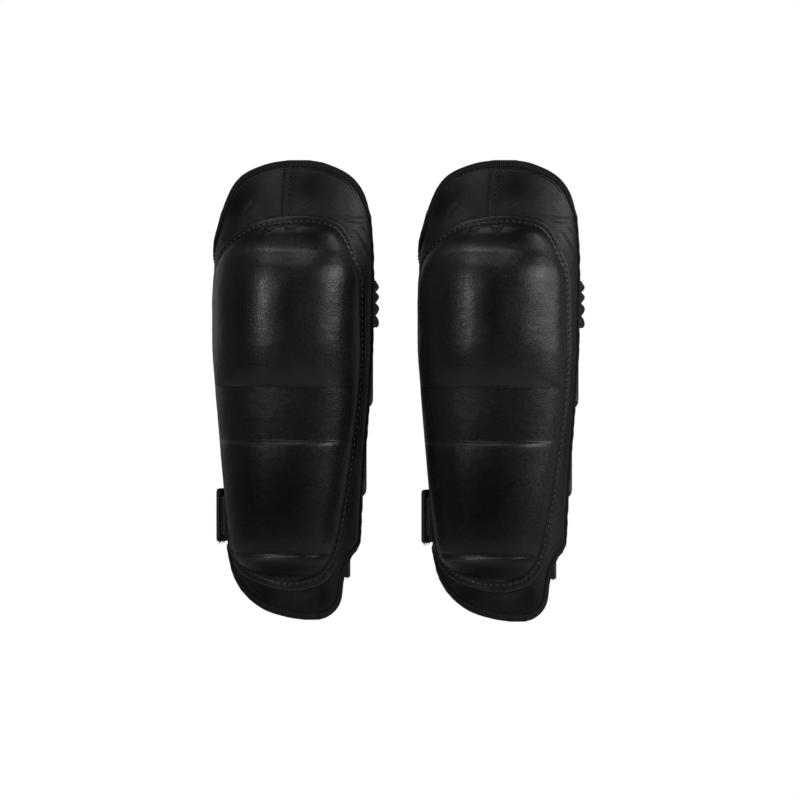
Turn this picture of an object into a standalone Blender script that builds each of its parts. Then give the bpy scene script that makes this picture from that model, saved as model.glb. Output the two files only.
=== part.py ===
"""A pair of leather knee and shin guards, each with a hard shell, a padded backing and three straps.

Metres, +Z up along the leg. The guards face -Y and open towards +Y, where the leg goes in.
"""
import math

import bmesh
import bpy
import numpy as np

# ---------------------------------------------------------------- driving sizes, metres
GUARD_SPACING = 0.199        # from one leg axis to the other
SIDE_Y = 0.018               # the backing's side edges, behind the leg axis
SIDE_STRAIGHT = 0.010        # straight part of the backing's side, before its edge
GAP = 0.0005                 # air between pieces that lie on each other

COVER = 0.0020               # leather over the shell
CORE = 0.0025                # moulded shell
PANEL = 0.0022               # leather face of the backing
FOAM = 0.0040                # padding in the backing
LINING = 0.0012              # inner face of the backing
FLANGE = 0.0014              # air and thread between the shell's flange and the backing
LAYER_GAP = 0.0012           # air between the layers of the backing
BINDING_REACH = 0.005        # how far the edge binding covers the backing
BINDING_GAP = 0.0016         # air inside the binding
BINDING_WALL = 0.0010        # thickness of the edge binding

FLANGE_WIDTH = 0.0065        # flat stitched edge of the shell
DOME_SQUARENESS = 2.3        # 2 is a plain ellipse across the shell

STRAP_WIDTH = 0.046          # elastic straps
STRAP_THICK = 0.0022
RING_STRAP_BULGE = 0.041     # how far the straps arch behind their own ends
UPPER_STRAP_BULGE = 0.028
TAB_INNER = 0.0032           # inner face of the side hook tab, outside the backing
TAB_THICK = 0.0040           # side hook tab
TAB_FRONT_Y = -0.004         # front end of the side hook tab
TAB_BACK = 0.0095            # its fold, behind the backing's edge
TAB_HEIGHT = 0.050
PATCH_INNER = 0.0008         # side loop patch: its faces, outside the backing
PATCH_PROUD = 0.0026
PATCH_BACK = 0.008           # its rear end, before the backing's edge
PATCH_LENGTH = 0.013
PATCH_HEIGHT = 0.036
ROD_RADIUS = 0.0018          # strap ring
ROD_CORNER = 0.003
FRONT_ROD = 0.0085           # ring's front upright, behind the backing's edge
REAR_ROD = 0.0205            # ring's rear upright, behind the backing's edge
FRONT_ROD_INSET = 0.0055     # how far the uprights stand in from the backing's side
REAR_ROD_INSET = 0.0078
FOLD_RADIUS = 0.0024         # inside radius of a webbing fold round the ring
RING_SPAN = REAR_ROD - FRONT_ROD
RING_HEIGHT = 0.054          # between the middles of its top and bottom bars
SEWN_START = 0.0035          # where sewn webbing starts, behind the backing's edge
FREE_END = 0.008             # elastic's free end, behind the ring
BUTT_GAP = 0.0013            # elastic's end to the middle of the tab it is sewn to
BEHIND_TAB = 0.004           # front end of the tabs behind the backing, behind its edge
BEHIND_LENGTH = 0.029
BEHIND_THICK = 0.0029
PILE_THICK = 0.0021          # loop patches behind the backing
TONGUE_LENGTH = 0.0145
TONGUE_PROUD = 0.0005        # how far the tabs behind the backing stand outside its side
SLEEVE_LENGTH = 0.020        # gathered sleeve on the upper strap
SLEEVE_HEIGHT = 0.044
SLEEVE_FOLDS = 5
SLEEVE_SWELL = 0.0014
SLEEVE_OUTER = 0.0022        # its faces, in from the backing's side
SLEEVE_INNER = 0.0070
TAIL_ALONG = (0.0668, 0.0735)    # webbing tail below the right side: its two edges round the wrap
TAIL_TOP = (0.0515, 0.0572)      # the height where each edge starts
TAIL_BOTTOM = 0.0393
TAIL_OUTER = -0.0020         # its outer face, measured out from the backing
TAIL_THICK = 0.0022
FOAM_INSET = 0.0014          # how far the padding and the lining stop inside the panel's edge
LINING_INSET = 0.0018
CORE_LOW = 0.048             # height range and columns of the shell that the core fills
CORE_HIGH = 0.354
CORE_TRIM = 4
CORE_DEPTH = COVER + 0.00075     # outer faces of the core and of the foam, inside the shell
FOAM_DEPTH = COVER + CORE + 0.0020
FOAM_LIFT = 0.0015           # foam's inner face, in front of the backing
FOAM_NARROW = 0.9            # its width there, as a share of its outer face's
FOAMS = {"knee_foam": (0.2200, 0.3400), "shin_foam": (0.0640, 0.2150)}
FOAM_TRIM = 5
SEAM_LOW = 0.3830            # strip over the flap's middle seam
SEAM_HIGH = 0.4195
SEAM_HALF = 0.004
SEAM_LIFT = 0.0016
SEAM_THICK = 0.0010

# Backing: height, half width and how far its front stands before the leg axis
BACKING_SECTIONS = [
    (0.000, 0.0540, 0.0330),
    (0.030, 0.0575, 0.0330),
    (0.045, 0.0592, 0.0330),
    (0.072, 0.0615, 0.0330),
    (0.100, 0.0625, 0.0330),
    (0.150, 0.0662, 0.0330),
    (0.200, 0.0702, 0.0330),
    (0.250, 0.0735, 0.0330),
    (0.330, 0.0745, 0.0330),
    (0.380, 0.0745, 0.0300),
    (0.430, 0.0735, 0.0200),
]

# Outlines: height, then how much of the wrap is covered to the left and to the right
BACKING_OUTLINE = [
    (0.0026, 0.26, 0.42),
    (0.0050, 0.07, 0.51),
    (0.0105, -0.16, 0.60),
    (0.0190, -0.35, 0.66),
    (0.0310, -0.52, 0.67),
    (0.0450, -0.66, 0.69),
    (0.0600, -0.74, 0.78),
    (0.0680, -0.91, 0.93),
    (0.0760, -1.00, 1.00),
    (0.1000, -1.00, 1.00),
    (0.1700, -1.00, 1.00),
    (0.2500, -1.00, 1.00),
    (0.3180, -1.00, 1.00),
    (0.3430, -0.865, 0.98),
    (0.3660, -0.715, 0.93),
    (0.3860, -0.62, 0.84),
    (0.4040, -0.53, 0.74),
    (0.4160, -0.40, 0.61),
    (0.4245, -0.17, 0.41),
    (0.4276, 0.03, 0.24),
]
SHELL_OUTLINE = [
    (0.0276, 0.07, 0.22),
    (0.0292, -0.04, 0.29),
    (0.0325, -0.17, 0.40),
    (0.0380, -0.36, 0.48),
    (0.0470, -0.51, 0.55),
    (0.0600, -0.61, 0.60),
    (0.0850, -0.68, 0.66),
    (0.1400, -0.75, 0.74),
    (0.2200, -0.80, 0.80),
    (0.3000, -0.80, 0.79),
    (0.3250, -0.75, 0.77),
    (0.3420, -0.67, 0.70),
    (0.3560, -0.53, 0.64),
    (0.3670, -0.36, 0.57),
    (0.3740, -0.20, 0.46),
    (0.3778, 0.05, 0.24),
]

# Shell: height, then how far its middle stands before the leg axis
SHELL_PROFILE = [
    (0.0280, 0.0360),
    (0.0385, 0.0370),
    (0.0440, 0.0450),
    (0.0520, 0.0530),
    (0.0580, 0.0560),
    (0.0610, 0.0535),
    (0.0640, 0.0570),
    (0.0800, 0.0605),
    (0.1200, 0.0625),
    (0.1600, 0.0615),
    (0.1660, 0.0600),
    (0.1690, 0.0565),
    (0.2140, 0.0575),
    (0.2190, 0.0570),
    (0.2220, 0.0610),
    (0.2400, 0.0660),
    (0.2600, 0.0675),
    (0.2900, 0.0670),
    (0.3200, 0.0630),
    (0.3350, 0.0570),
    (0.3450, 0.0490),
    (0.3530, 0.0450),
    (0.3640, 0.0430),
    (0.3690, 0.0370),
    (0.3780, 0.0340),
]

# Straps with a ring: name, height at the left edge, height at the right edge
RING_STRAPS = [
    ("middle", 0.181, 0.228),
    ("lower", 0.097, 0.144),
]
UPPER_LEFT_Z = 0.345
UPPER_RIGHT_Z = 0.295

LEATHER = ((0.012, 0.011, 0.010), 0.42, 0.0)
PIECE_LOOKS = {
    "shell_core": ((0.030, 0.030, 0.032), 0.55, 0.0),
    "shell_cover": LEATHER,
    "knee_foam": ((0.10, 0.10, 0.11), 0.95, 0.0),
    "shin_foam": ((0.10, 0.10, 0.11), 0.95, 0.0),
    "backing_panel": ((0.014, 0.012, 0.011), 0.50, 0.0),
    "backing_foam": ((0.12, 0.12, 0.13), 0.95, 0.0),
    "lining": ((0.020, 0.020, 0.022), 0.90, 0.0),
    "edge_binding": ((0.010, 0.010, 0.010), 0.60, 0.0),
    "seam_strip": LEATHER,
    "strap": ((0.012, 0.012, 0.013), 0.80, 0.0),
    "sleeve": LEATHER,
    "ring": ((0.030, 0.030, 0.032), 0.25, 0.9),
    "keeper": ((0.012, 0.012, 0.013), 0.75, 0.0),
    "hook_tab": ((0.016, 0.016, 0.018), 0.55, 0.0),
    "loop_patch": ((0.010, 0.010, 0.011), 0.95, 0.0),
    "tail": ((0.012, 0.012, 0.013), 0.70, 0.0),
}


# ---------------------------------------------------------------- helpers
def clear_scene():
    for thing in list(bpy.data.objects):
        bpy.data.objects.remove(thing, do_unlink=True)


def make_collection(name):
    collection = bpy.data.collections.new(name)
    bpy.context.scene.collection.children.link(collection)
    return collection


def make_material(name, look):
    colour, roughness, metallic = look
    material = bpy.data.materials.new(name)
    material.use_nodes = True
    shader = material.node_tree.nodes["Principled BSDF"]
    shader.inputs["Base Color"].default_value = (*colour, 1.0)
    shader.inputs["Roughness"].default_value = roughness
    shader.inputs["Metallic"].default_value = metallic
    return material


def add_mesh(name, points, faces, look, guard, smooth=True):
    """A mesh object whose origin is guard's origin, moved along X to its place."""
    mesh = bpy.data.meshes.new(name)
    mesh.from_pydata([tuple(map(float, p)) for p in points], [], faces)
    mesh.update()
    mesh.shade_smooth() if smooth else mesh.shade_flat()
    piece = bpy.data.objects.new(f"{guard.side}_{name}", mesh)
    piece.data.materials.append(make_material(piece.name, PIECE_LOOKS[look]))
    piece.parent = guard.empty
    guard.collection.objects.link(piece)
    return piece


def solidify(piece, thickness):
    layer = piece.modifiers.new("thickness", "SOLIDIFY")
    layer.thickness = thickness
    layer.offset = -1.0


def spline_rows(rows, count):
    """Evenly spaced rows on a smooth curve through the given rows."""
    rows = np.array(rows)
    ends = np.vstack([2 * rows[0] - rows[1], rows, 2 * rows[-1] - rows[-2]])
    where = np.linspace(0, len(rows) - 1, count)
    index = np.minimum(where.astype(int), len(rows) - 2)
    step = (where - index)[:, None]
    p0, p1, p2, p3 = (ends[index + k] for k in range(4))
    return 0.5 * (2 * p1 + (p2 - p0) * step + (2 * p0 - 5 * p1 + 4 * p2 - p3) * step ** 2
                  + (3 * p1 - p0 - 3 * p2 + p3) * step ** 3)


def read_table(table, height):
    heights = [row[0] for row in table]
    return [np.interp(height, heights, column) for column in list(zip(*table))[1:]]


# ---------------------------------------------------------------- the backing's surface
TURN_POINTS = 60             # points on a quarter of its section
SLOPE_STEP = 0.002           # arc length over which its direction is measured


def section(height):
    """Half the backing's outer section: arc lengths with their x and y, from the front."""
    half, front = read_table(BACKING_SECTIONS, height)
    middle = SIDE_Y - SIDE_STRAIGHT
    turn = np.linspace(0, math.pi / 2, TURN_POINTS)
    x = np.append(half * np.sin(turn), half)
    y = np.append(middle - (front + middle) * np.cos(turn), SIDE_Y)
    steps = np.hypot(np.diff(x), np.diff(y))
    return np.concatenate([[0.0], np.cumsum(steps)]), x, y


def wrap_length(height):
    return section(height)[0][-1]


def half_width(height):
    return float(read_table(BACKING_SECTIONS, height)[0])


def backing_point(along, height, out):
    """The point at a signed distance round the wrap, standing out from the backing."""
    lengths, x, y = section(height)
    side = -1.0 if along < 0 else 1.0
    reach = abs(along)
    px, py = (np.interp(reach, lengths, values) for values in (x, y))
    low, high = max(reach - SLOPE_STEP, 0.0), min(reach + SLOPE_STEP, lengths[-1])
    low = min(low, high - SLOPE_STEP)
    dx, dy = (np.interp(high, lengths, v) - np.interp(low, lengths, v) for v in (x, y))
    if reach < SLOPE_STEP:
        dx, dy = 1.0, 0.0
    size = math.hypot(dx, dy)
    px += out * dy / size
    py += max(reach - lengths[-1], 0.0) - out * dx / size
    return np.array([side * px, py, height])


def outline_rows(outline, count):
    """Heights with the left and right arc length of an outline."""
    rows = spline_rows(outline, count)
    wraps = np.array([wrap_length(z) for z in rows[:, 0]])
    return np.column_stack([rows[:, 0], rows[:, 1] * wraps, rows[:, 2] * wraps])


def outline_loop(rows):
    """The outline as a closed loop of (arc length, height), anticlockwise from outside."""
    right = [(row[2], row[0]) for row in rows]
    left = [(row[1], row[0]) for row in reversed(rows)]
    return np.array(right + left)


def inset_loop(loop, distance):
    """The loop moved inwards by a distance along its own corner directions."""
    before, after = np.roll(loop, 1, axis=0), np.roll(loop, -1, axis=0)

    def inward(edge):
        edge = edge / np.linalg.norm(edge, axis=1)[:, None]
        return np.column_stack([-edge[:, 1], edge[:, 0]])

    first, second = inward(loop - before), inward(after - loop)
    middle = first + second
    middle /= np.linalg.norm(middle, axis=1)[:, None]
    stretch = 1.0 / np.maximum((middle * first).sum(axis=1), 0.7)
    return loop + middle * (distance * stretch)[:, None]


def grid_faces(rows, columns):
    return [(r * columns + c, r * columns + c + 1, (r + 1) * columns + c + 1, (r + 1) * columns + c)
            for r in range(rows - 1) for c in range(columns - 1)]


def solid_between(outer, inner):
    """Points and faces of the closed block between two matching grids."""
    rows, columns = outer.shape[:2]
    count = rows * columns
    front = [half for a, b, c, d in grid_faces(rows, columns) for half in ((a, b, c), (a, c, d))]
    back = [tuple(i + count for i in reversed(face)) for face in front]
    edge = [*range(columns), *(r * columns + columns - 1 for r in range(1, rows)),
            *(count - 2 - c for c in range(columns - 1)),
            *((rows - 1 - r) * columns for r in range(1, rows - 1))]
    rim = [(edge[k], edge[k] + count, edge[(k + 1) % len(edge)] + count, edge[(k + 1) % len(edge)])
           for k in range(len(edge))]
    points = [*outer.reshape(-1, 3), *inner.reshape(-1, 3)]
    return points, front + back + rim


def closed_piece(guard, name, look, outer, inner, smooth=False):
    points, faces = solid_between(outer, inner)
    piece = add_mesh(name, points, faces, look, guard, smooth)
    form = bmesh.new()
    form.from_mesh(piece.data)
    bmesh.ops.recalc_face_normals(form, faces=form.faces)
    form.to_mesh(piece.data)
    form.free()
    return piece


# ---------------------------------------------------------------- backing pieces
BACKING_ROWS = 19
BACKING_COLUMNS = 15


def backing_layer(guard, name, out, thickness, inset):
    lines = []
    for z, left, right in outline_rows(BACKING_OUTLINE, BACKING_ROWS):
        spots = np.linspace(left, right, BACKING_COLUMNS)
        spots[[0, -1]] += (inset, -inset)
        lines.append([(along, z) for along in sorted(spots)])
    faces = [np.array([[backing_point(along, z, depth) for along, z in line] for line in lines])
             for depth in (out, out - thickness)]
    closed_piece(guard, name, name, *faces, smooth=True)


def edge_binding(guard):
    """A band folded round the backing's edge: a closed ring of U-shaped sections."""
    depth = PANEL + FOAM + LINING + 2 * LAYER_GAP
    loop = outline_loop(outline_rows(BACKING_OUTLINE, BACKING_ROWS))
    gap = BINDING_GAP
    profile = [
        (BINDING_REACH, gap), (BINDING_REACH, gap + BINDING_WALL),
        (-gap - BINDING_WALL, gap + BINDING_WALL), (-gap - BINDING_WALL, -depth - gap - BINDING_WALL),
        (BINDING_REACH, -depth - gap - BINDING_WALL), (BINDING_REACH, -depth - gap),
        (-gap, -depth - gap), (-gap, gap),
    ]
    rings = [[backing_point(s, z, out) for s, z in inset_loop(loop, reach)] for reach, out in profile]
    points = [ring[k] for k in range(len(loop)) for ring in rings]
    size, count = len(profile), len(loop)
    faces = [(k * size + j, k * size + (j + 1) % size,
              (k + 1) % count * size + (j + 1) % size, (k + 1) % count * size + j)
             for k in range(count) for j in range(size)]
    add_mesh("edge_binding", points, faces, "edge_binding", guard, smooth=False)


def seam_strip(guard):
    heights = np.linspace(SEAM_LOW, SEAM_HIGH, 6)
    points = [backing_point(along, z, SEAM_LIFT) for z in heights for along in (-SEAM_HALF, 0.0, SEAM_HALF)]
    piece = add_mesh("seam_strip", points, grid_faces(len(heights), 3), "seam_strip", guard)
    solidify(piece, SEAM_THICK)


# ---------------------------------------------------------------- shell pieces
DOME_COLUMNS = 13
OUTLINE_ROWS = 57
ROW_GAP = 0.0015             # least height between two rows


def shell_rows():
    """Rows that follow the shell's outline at its ends and its grooves between them."""
    ends = outline_rows(SHELL_OUTLINE, OUTLINE_ROWS)
    grooves = [row[0] for row in SHELL_PROFILE[2:-2]]
    heights = sorted(set(np.round([*ends[:9:2, 0], *grooves, *ends[-9::2, 0]], 5)))
    keep = [heights[0]]
    for z in heights[1:]:
        if z - keep[-1] > ROW_GAP:
            keep.append(z)
    keep[-1] = heights[-1]
    left = np.interp(keep, ends[:, 0], ends[:, 1])
    right = np.interp(keep, ends[:, 0], ends[:, 2])
    return np.column_stack([keep, left, right])


def edge_distance(along, height, loop):
    """Distance in the unrolled surface from a point to the outline."""
    start, end = loop, np.roll(loop, -1, axis=0)
    run = end - start
    point = np.array([along, height])
    part = ((point - start) * run).sum(axis=1) / np.maximum((run ** 2).sum(axis=1), 1e-12)
    nearest = start + run * np.clip(part, 0, 1)[:, None]
    return np.linalg.norm(nearest - point, axis=1).min()


def dome_span(height, left, right, loop):
    """The arc lengths between which a row of the shell stands clear of its flange."""
    tries = np.linspace(left, right, 121)
    inside = [s for s in tries if edge_distance(s, height, loop) >= FLANGE_WIDTH]
    return (inside[0], inside[-1]) if len(inside) > 2 else None


def dome_points(height, span):
    """One row across the dome, an ellipse-like arch between its two feet."""
    foot_out = FLANGE + COVER
    feet = [backing_point(s, height, foot_out) for s in span]
    front = float(read_table(SHELL_PROFILE, height)[0])
    power = 2.0 / DOME_SQUARENESS
    row = []
    for turn in np.linspace(-math.pi / 2, math.pi / 2, DOME_COLUMNS):
        across = math.copysign(abs(math.sin(turn)) ** power, turn)
        part = (across + 1) / 2
        chord = feet[0] * (1 - part) + feet[1] * part
        rise = abs(math.cos(turn)) ** power
        surface = np.interp(chord[0], [feet[0][0], feet[1][0]], [span[0], span[1]])
        base = backing_point(surface, height, foot_out)[1]
        row.append(np.array([chord[0], min(chord[1] - (front + chord[1]) * rise, base), height]))
    return row


def shell_grid():
    """Outer surface of the leather cover, with the flange in its outer columns."""
    loop = outline_loop(outline_rows(SHELL_OUTLINE, OUTLINE_ROWS))
    grid = []
    for z, left, right in shell_rows():
        span = dome_span(z, left, right, loop)
        flat = FLANGE + COVER
        if span is None:
            row = [backing_point(s, z, flat) for s in np.linspace(left, right, DOME_COLUMNS + 4)]
        else:
            sides = [(left, (left + span[0]) / 2), ((right + span[1]) / 2, right)]
            row = [backing_point(s, z, flat) for s in sides[0]] + dome_points(z, span)
            row += [backing_point(s, z, flat) for s in sides[1]]
        grid.append(row)
    return np.array(grid)


def grid_normals(grid):
    """Outward directions at each point of a surface grid."""
    across = np.gradient(grid, axis=1)
    upward = np.gradient(grid, axis=0)
    normal = np.cross(across, upward)
    return normal / np.linalg.norm(normal, axis=2)[:, :, None]


def wrap_position(x, height):
    """Arc length at which the backing's surface has a given x."""
    lengths, widths, _ = section(height)
    return math.copysign(np.interp(abs(x), widths[:TURN_POINTS], lengths[:TURN_POINTS]), x)


def shell(guard):
    grid = shell_grid()
    normals = grid_normals(grid)
    rows, columns = grid.shape[:2]
    cover = add_mesh("shell_cover", grid.reshape(-1, 3), grid_faces(rows, columns), "shell_cover", guard)
    solidify(cover, COVER)
    core_outer = grid - normals * CORE_DEPTH
    heights = grid[:, 0, 2]
    core_rows = (heights > CORE_LOW) & (heights < CORE_HIGH)
    core = core_outer[core_rows, CORE_TRIM:-CORE_TRIM]
    piece = add_mesh("shell_core", core.reshape(-1, 3), grid_faces(*core.shape[:2]), "shell_core", guard)
    solidify(piece, CORE)
    foam_outer = grid - normals * FOAM_DEPTH
    for name, (low, high) in FOAMS.items():
        foam_rows = (heights > low) & (heights < high)
        outer = foam_outer[foam_rows, FOAM_TRIM:-FOAM_TRIM]
        inner = np.array([[backing_point(wrap_position(FOAM_NARROW * p[0], p[2]), p[2], FOAM_LIFT)
                           for p in row] for row in outer])
        closed_piece(guard, name, name, outer, inner)


# ---------------------------------------------------------------- strap pieces
def ribbon(guard, name, look, path, heights, width, thickness):
    """A flat band on edge, along a path seen from above."""
    points = [(x, y, z + side * width / 2) for side in (-1, 1) for (x, y), z in zip(path, heights)]
    piece = add_mesh(name, points, grid_faces(2, len(path)), look, guard, smooth=True)
    band = piece.modifiers.new("thickness", "SOLIDIFY")
    band.thickness = thickness
    band.offset = 0.0
    band.use_even_offset = True
    return piece


def block(guard, name, look, low, high):
    bpy.ops.mesh.primitive_cube_add(size=1.0)
    piece = bpy.context.object
    low, high = np.array(low), np.array(high)
    for corner in piece.data.vertices:
        corner.co = (low + high) / 2 + np.array(corner.co) * (high - low)
    piece.name = f"{guard.side}_{name}"
    piece.data.name = piece.name
    piece.data.materials.append(make_material(piece.name, PIECE_LOOKS[look]))
    piece.parent = guard.empty
    for home in list(piece.users_collection):
        home.objects.unlink(piece)
    guard.collection.objects.link(piece)
    return piece


def fold(centre, start, end, radius):
    """Points of a webbing fold round a ring's upright, angles in degrees from +X."""
    turns = np.radians(np.linspace(start, end, 7))
    return [(centre[0] + radius * math.cos(t), centre[1] + radius * math.sin(t)) for t in turns]


def rear_arc(right, left, bulge, count=11):
    """An arch behind the leg, from the right end to the left end."""
    points = []
    for turn in np.linspace(0, math.pi, count):
        part = (1 - math.cos(turn)) / 2
        points.append((right[0] * (1 - part) + left[0] * part,
                       right[1] * (1 - part) + left[1] * part + bulge * math.sin(turn)))
    return points


def strap_ring(guard, name, front, rear, height):
    """A rounded rectangle of rod, standing upright behind the backing's edge."""
    curve = bpy.data.curves.new(name, "CURVE")
    curve.dimensions = "3D"
    curve.bevel_depth = ROD_RADIUS
    curve.bevel_resolution = 1
    spline = curve.splines.new("POLY")
    points = []
    for (x, y), side, first in ((front, -1, True), (rear, -1, False), (rear, 1, True), (front, 1, False)):
        end_z = height + side * RING_HEIGHT / 2
        upright = (x, y, end_z - side * ROD_CORNER)
        inward = 1 if (x, y) == front else -1
        along = inward * ROD_CORNER
        bar = (x + along * (rear[0] - front[0]) / RING_SPAN, y + along, end_z)
        points += [upright, bar] if first else [bar, upright]
    spline.points.add(len(points) - 1)
    for place, point in zip(spline.points, points):
        place.co = (*point, 1.0)
    spline.use_cyclic_u = True
    ring = bpy.data.objects.new(f"{guard.side}_{name}", curve)
    ring.data.materials.append(make_material(ring.name, PIECE_LOOKS["ring"]))
    ring.parent = guard.empty
    guard.collection.objects.link(ring)


def ring_strap(guard, name, left_z, right_z):
    """Keeper, ring, elastic, hook tab and loop patch of a strap that folds round a ring."""
    edge = half_width(right_z)
    front = (edge - FRONT_ROD_INSET, SIDE_Y + FRONT_ROD)
    rear = (edge - REAR_ROD_INSET, SIDE_Y + REAR_ROD)
    middle = FOLD_RADIUS + STRAP_THICK / 2
    keeper = [(front[0] + middle, SIDE_Y + SEWN_START), *fold(front, 0, 180, middle),
              (front[0] - middle, SIDE_Y + SEWN_START)]
    ribbon(guard, f"{name}_keeper", "keeper", keeper, [right_z] * len(keeper), STRAP_WIDTH, STRAP_THICK)
    strap_ring(guard, f"{name}_ring", front, rear, right_z)

    closure = side_closure if name == "lower" else tongue_closure
    left = closure(guard, name, left_z)
    turned = [(rear[0] - middle, rear[1] + FREE_END), *fold(rear, 180, 360, middle)]
    arc = rear_arc(turned[-1], left, RING_STRAP_BULGE)[1:]
    slope = np.linspace(right_z, left_z, len(arc) + 1)[1:]
    heights = [right_z] * len(turned) + list(slope)
    ribbon(guard, f"{name}_strap", "strap", turned + arc, heights, STRAP_WIDTH, STRAP_THICK)


def side_closure(guard, name, height):
    """Hook tab and loop patch on the outside of the backing's left side. Returns the strap's end."""
    low, high = height - TAB_HEIGHT / 2, height + TAB_HEIGHT / 2
    side_x = half_width(high) + TAB_INNER
    back_y = SIDE_Y + TAB_BACK
    block(guard, f"{name}_hook_tab", "hook_tab",
          (-side_x - TAB_THICK, TAB_FRONT_Y, low), (-side_x, back_y, high))
    side_loop_patch(guard, f"{name}_loop_patch", height)
    return -side_x - TAB_THICK / 2, back_y + BUTT_GAP


def tongue_closure(guard, name, height):
    """Hook tab and loop patch behind the backing's left edge. Returns the strap's end."""
    low, high = height - STRAP_WIDTH / 2, height + STRAP_WIDTH / 2
    outer_x = half_width(height) + TONGUE_PROUD
    inner_x = outer_x - BEHIND_THICK
    back_y = SIDE_Y + BEHIND_TAB + BEHIND_LENGTH
    block(guard, f"{name}_hook_tab", "hook_tab",
          (-outer_x, SIDE_Y + BEHIND_TAB, low), (-inner_x, back_y, high))
    block(guard, f"{name}_loop_patch", "loop_patch", (-inner_x + GAP, SIDE_Y + SEWN_START, low),
          (-inner_x + GAP + PILE_THICK, SIDE_Y + SEWN_START + TONGUE_LENGTH, high))
    return -(outer_x + inner_x) / 2, back_y + BUTT_GAP


def side_loop_patch(guard, name, height):
    """A patch with an upright outer face, packed out to the backing's tapering side."""
    face_x = -(half_width(height + TAB_HEIGHT / 2) + PATCH_PROUD)
    outer, inner = [], []
    for z in np.linspace(height - PATCH_HEIGHT / 2, height + PATCH_HEIGHT / 2, 4):
        back = wrap_length(z) - PATCH_BACK
        spots = [backing_point(-s, z, PATCH_INNER) for s in np.linspace(back, back - PATCH_LENGTH, 4)]
        inner.append(spots)
        outer.append([np.array([face_x, spot[1], z]) for spot in spots])
    closed_piece(guard, name, "loop_patch", np.array(outer), np.array(inner))


def upper_strap(guard):
    """The wide elastic above the knee, gathered into a sleeve on the right."""
    edge = half_width(UPPER_RIGHT_Z)
    start_y = SIDE_Y + SEWN_START
    outer, inner = [], []
    heights = np.linspace(-SLEEVE_HEIGHT / 2, SLEEVE_HEIGHT / 2, 2 * SLEEVE_FOLDS + 1)
    for k, z in enumerate(heights):
        swell = SLEEVE_SWELL if k % 2 else 0.0
        spots = np.linspace(start_y, start_y + SLEEVE_LENGTH, 3)
        outer.append([(edge - SLEEVE_OUTER + swell, y, UPPER_RIGHT_Z + z) for y in spots])
        inner.append([(edge - SLEEVE_INNER - swell, y, UPPER_RIGHT_Z + z) for y in spots])
    closed_piece(guard, "upper_sleeve", "sleeve", np.array(outer), np.array(inner))

    right = (edge - (SLEEVE_OUTER + SLEEVE_INNER) / 2, start_y + SLEEVE_LENGTH + BUTT_GAP)
    left = tongue_closure(guard, "upper", UPPER_LEFT_Z)
    path = rear_arc(right, left, UPPER_STRAP_BULGE)
    slope = np.linspace(UPPER_RIGHT_Z, UPPER_LEFT_Z, len(path))
    ribbon(guard, "upper_strap", "strap", path, slope, STRAP_WIDTH, STRAP_THICK)


def lower_tail(guard):
    """A short end of webbing that hangs below the right side's lower edge."""
    spots = np.linspace(*TAIL_ALONG, 3)
    tops = np.linspace(*TAIL_TOP, 3)
    faces = [np.array([[backing_point(s, TAIL_BOTTOM + part * (top - TAIL_BOTTOM), out)
                        for s, top in zip(spots, tops)] for part in (0.0, 0.5, 1.0)])
             for out in (TAIL_OUTER, TAIL_OUTER - TAIL_THICK)]
    closed_piece(guard, "lower_tail", "tail", *faces)


# ---------------------------------------------------------------- build
class Guard:
    """One guard: its name prefix, its collection and the empty on its leg axis."""

    def __init__(self, side, x, collection):
        self.side = side
        self.collection = collection
        self.empty = bpy.data.objects.new(f"{side}_leg_axis", None)
        self.empty.location.x = x
        collection.objects.link(self.empty)


def build_guard(guard):
    total = 0.0
    for name, thickness, inset in (("backing_panel", PANEL, 0.0), ("backing_foam", FOAM, FOAM_INSET),
                                   ("lining", LINING, LINING_INSET)):
        backing_layer(guard, name, -total, thickness, inset)
        total += thickness + LAYER_GAP
    edge_binding(guard)
    seam_strip(guard)
    shell(guard)
    upper_strap(guard)
    for strap in RING_STRAPS:
        ring_strap(guard, *strap)
    lower_tail(guard)


def main():
    clear_scene()
    collection = make_collection("knee_guards")
    for side, x in (("left", -GUARD_SPACING / 2), ("right", GUARD_SPACING / 2)):
        build_guard(Guard(side, x, collection))


main()
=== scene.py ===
"""Looks of a pair of leather knee and shin guards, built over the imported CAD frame.

Metres, +Z up along the leg. Each guard is modelled about its own leg axis and then moved along X.
"""
import math

import bpy
import numpy as np
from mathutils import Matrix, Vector, noise


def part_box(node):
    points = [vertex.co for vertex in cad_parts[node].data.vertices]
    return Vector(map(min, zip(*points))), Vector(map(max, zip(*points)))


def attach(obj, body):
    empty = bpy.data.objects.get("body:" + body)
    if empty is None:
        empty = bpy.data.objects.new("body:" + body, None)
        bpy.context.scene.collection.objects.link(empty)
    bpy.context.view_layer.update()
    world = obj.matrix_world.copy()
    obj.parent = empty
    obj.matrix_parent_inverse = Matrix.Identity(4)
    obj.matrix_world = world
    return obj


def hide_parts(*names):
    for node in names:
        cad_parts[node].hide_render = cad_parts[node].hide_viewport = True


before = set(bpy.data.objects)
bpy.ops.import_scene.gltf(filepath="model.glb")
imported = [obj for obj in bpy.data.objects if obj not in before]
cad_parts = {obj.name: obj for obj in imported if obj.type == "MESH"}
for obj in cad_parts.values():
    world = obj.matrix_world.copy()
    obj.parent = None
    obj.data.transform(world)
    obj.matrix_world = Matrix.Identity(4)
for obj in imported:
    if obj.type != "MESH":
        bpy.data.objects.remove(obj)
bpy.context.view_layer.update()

# ---------------------------------------------------------------- sizes, metres
SIDE_Y = 0.018               # the backing's side edges, behind the leg axis
SIDE_STRAIGHT = 0.010
BACKING_DEPTH = 0.0098       # leather, padding and lining together
SHELL_FOOT = 0.0034          # outside of the shell's flange, before the backing
COVER = 0.0020
FLANGE_WIDTH = 0.0065
FLANGE_WIDEN = 0.0030        # extra width of the flange at the shell's lower end
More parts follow.
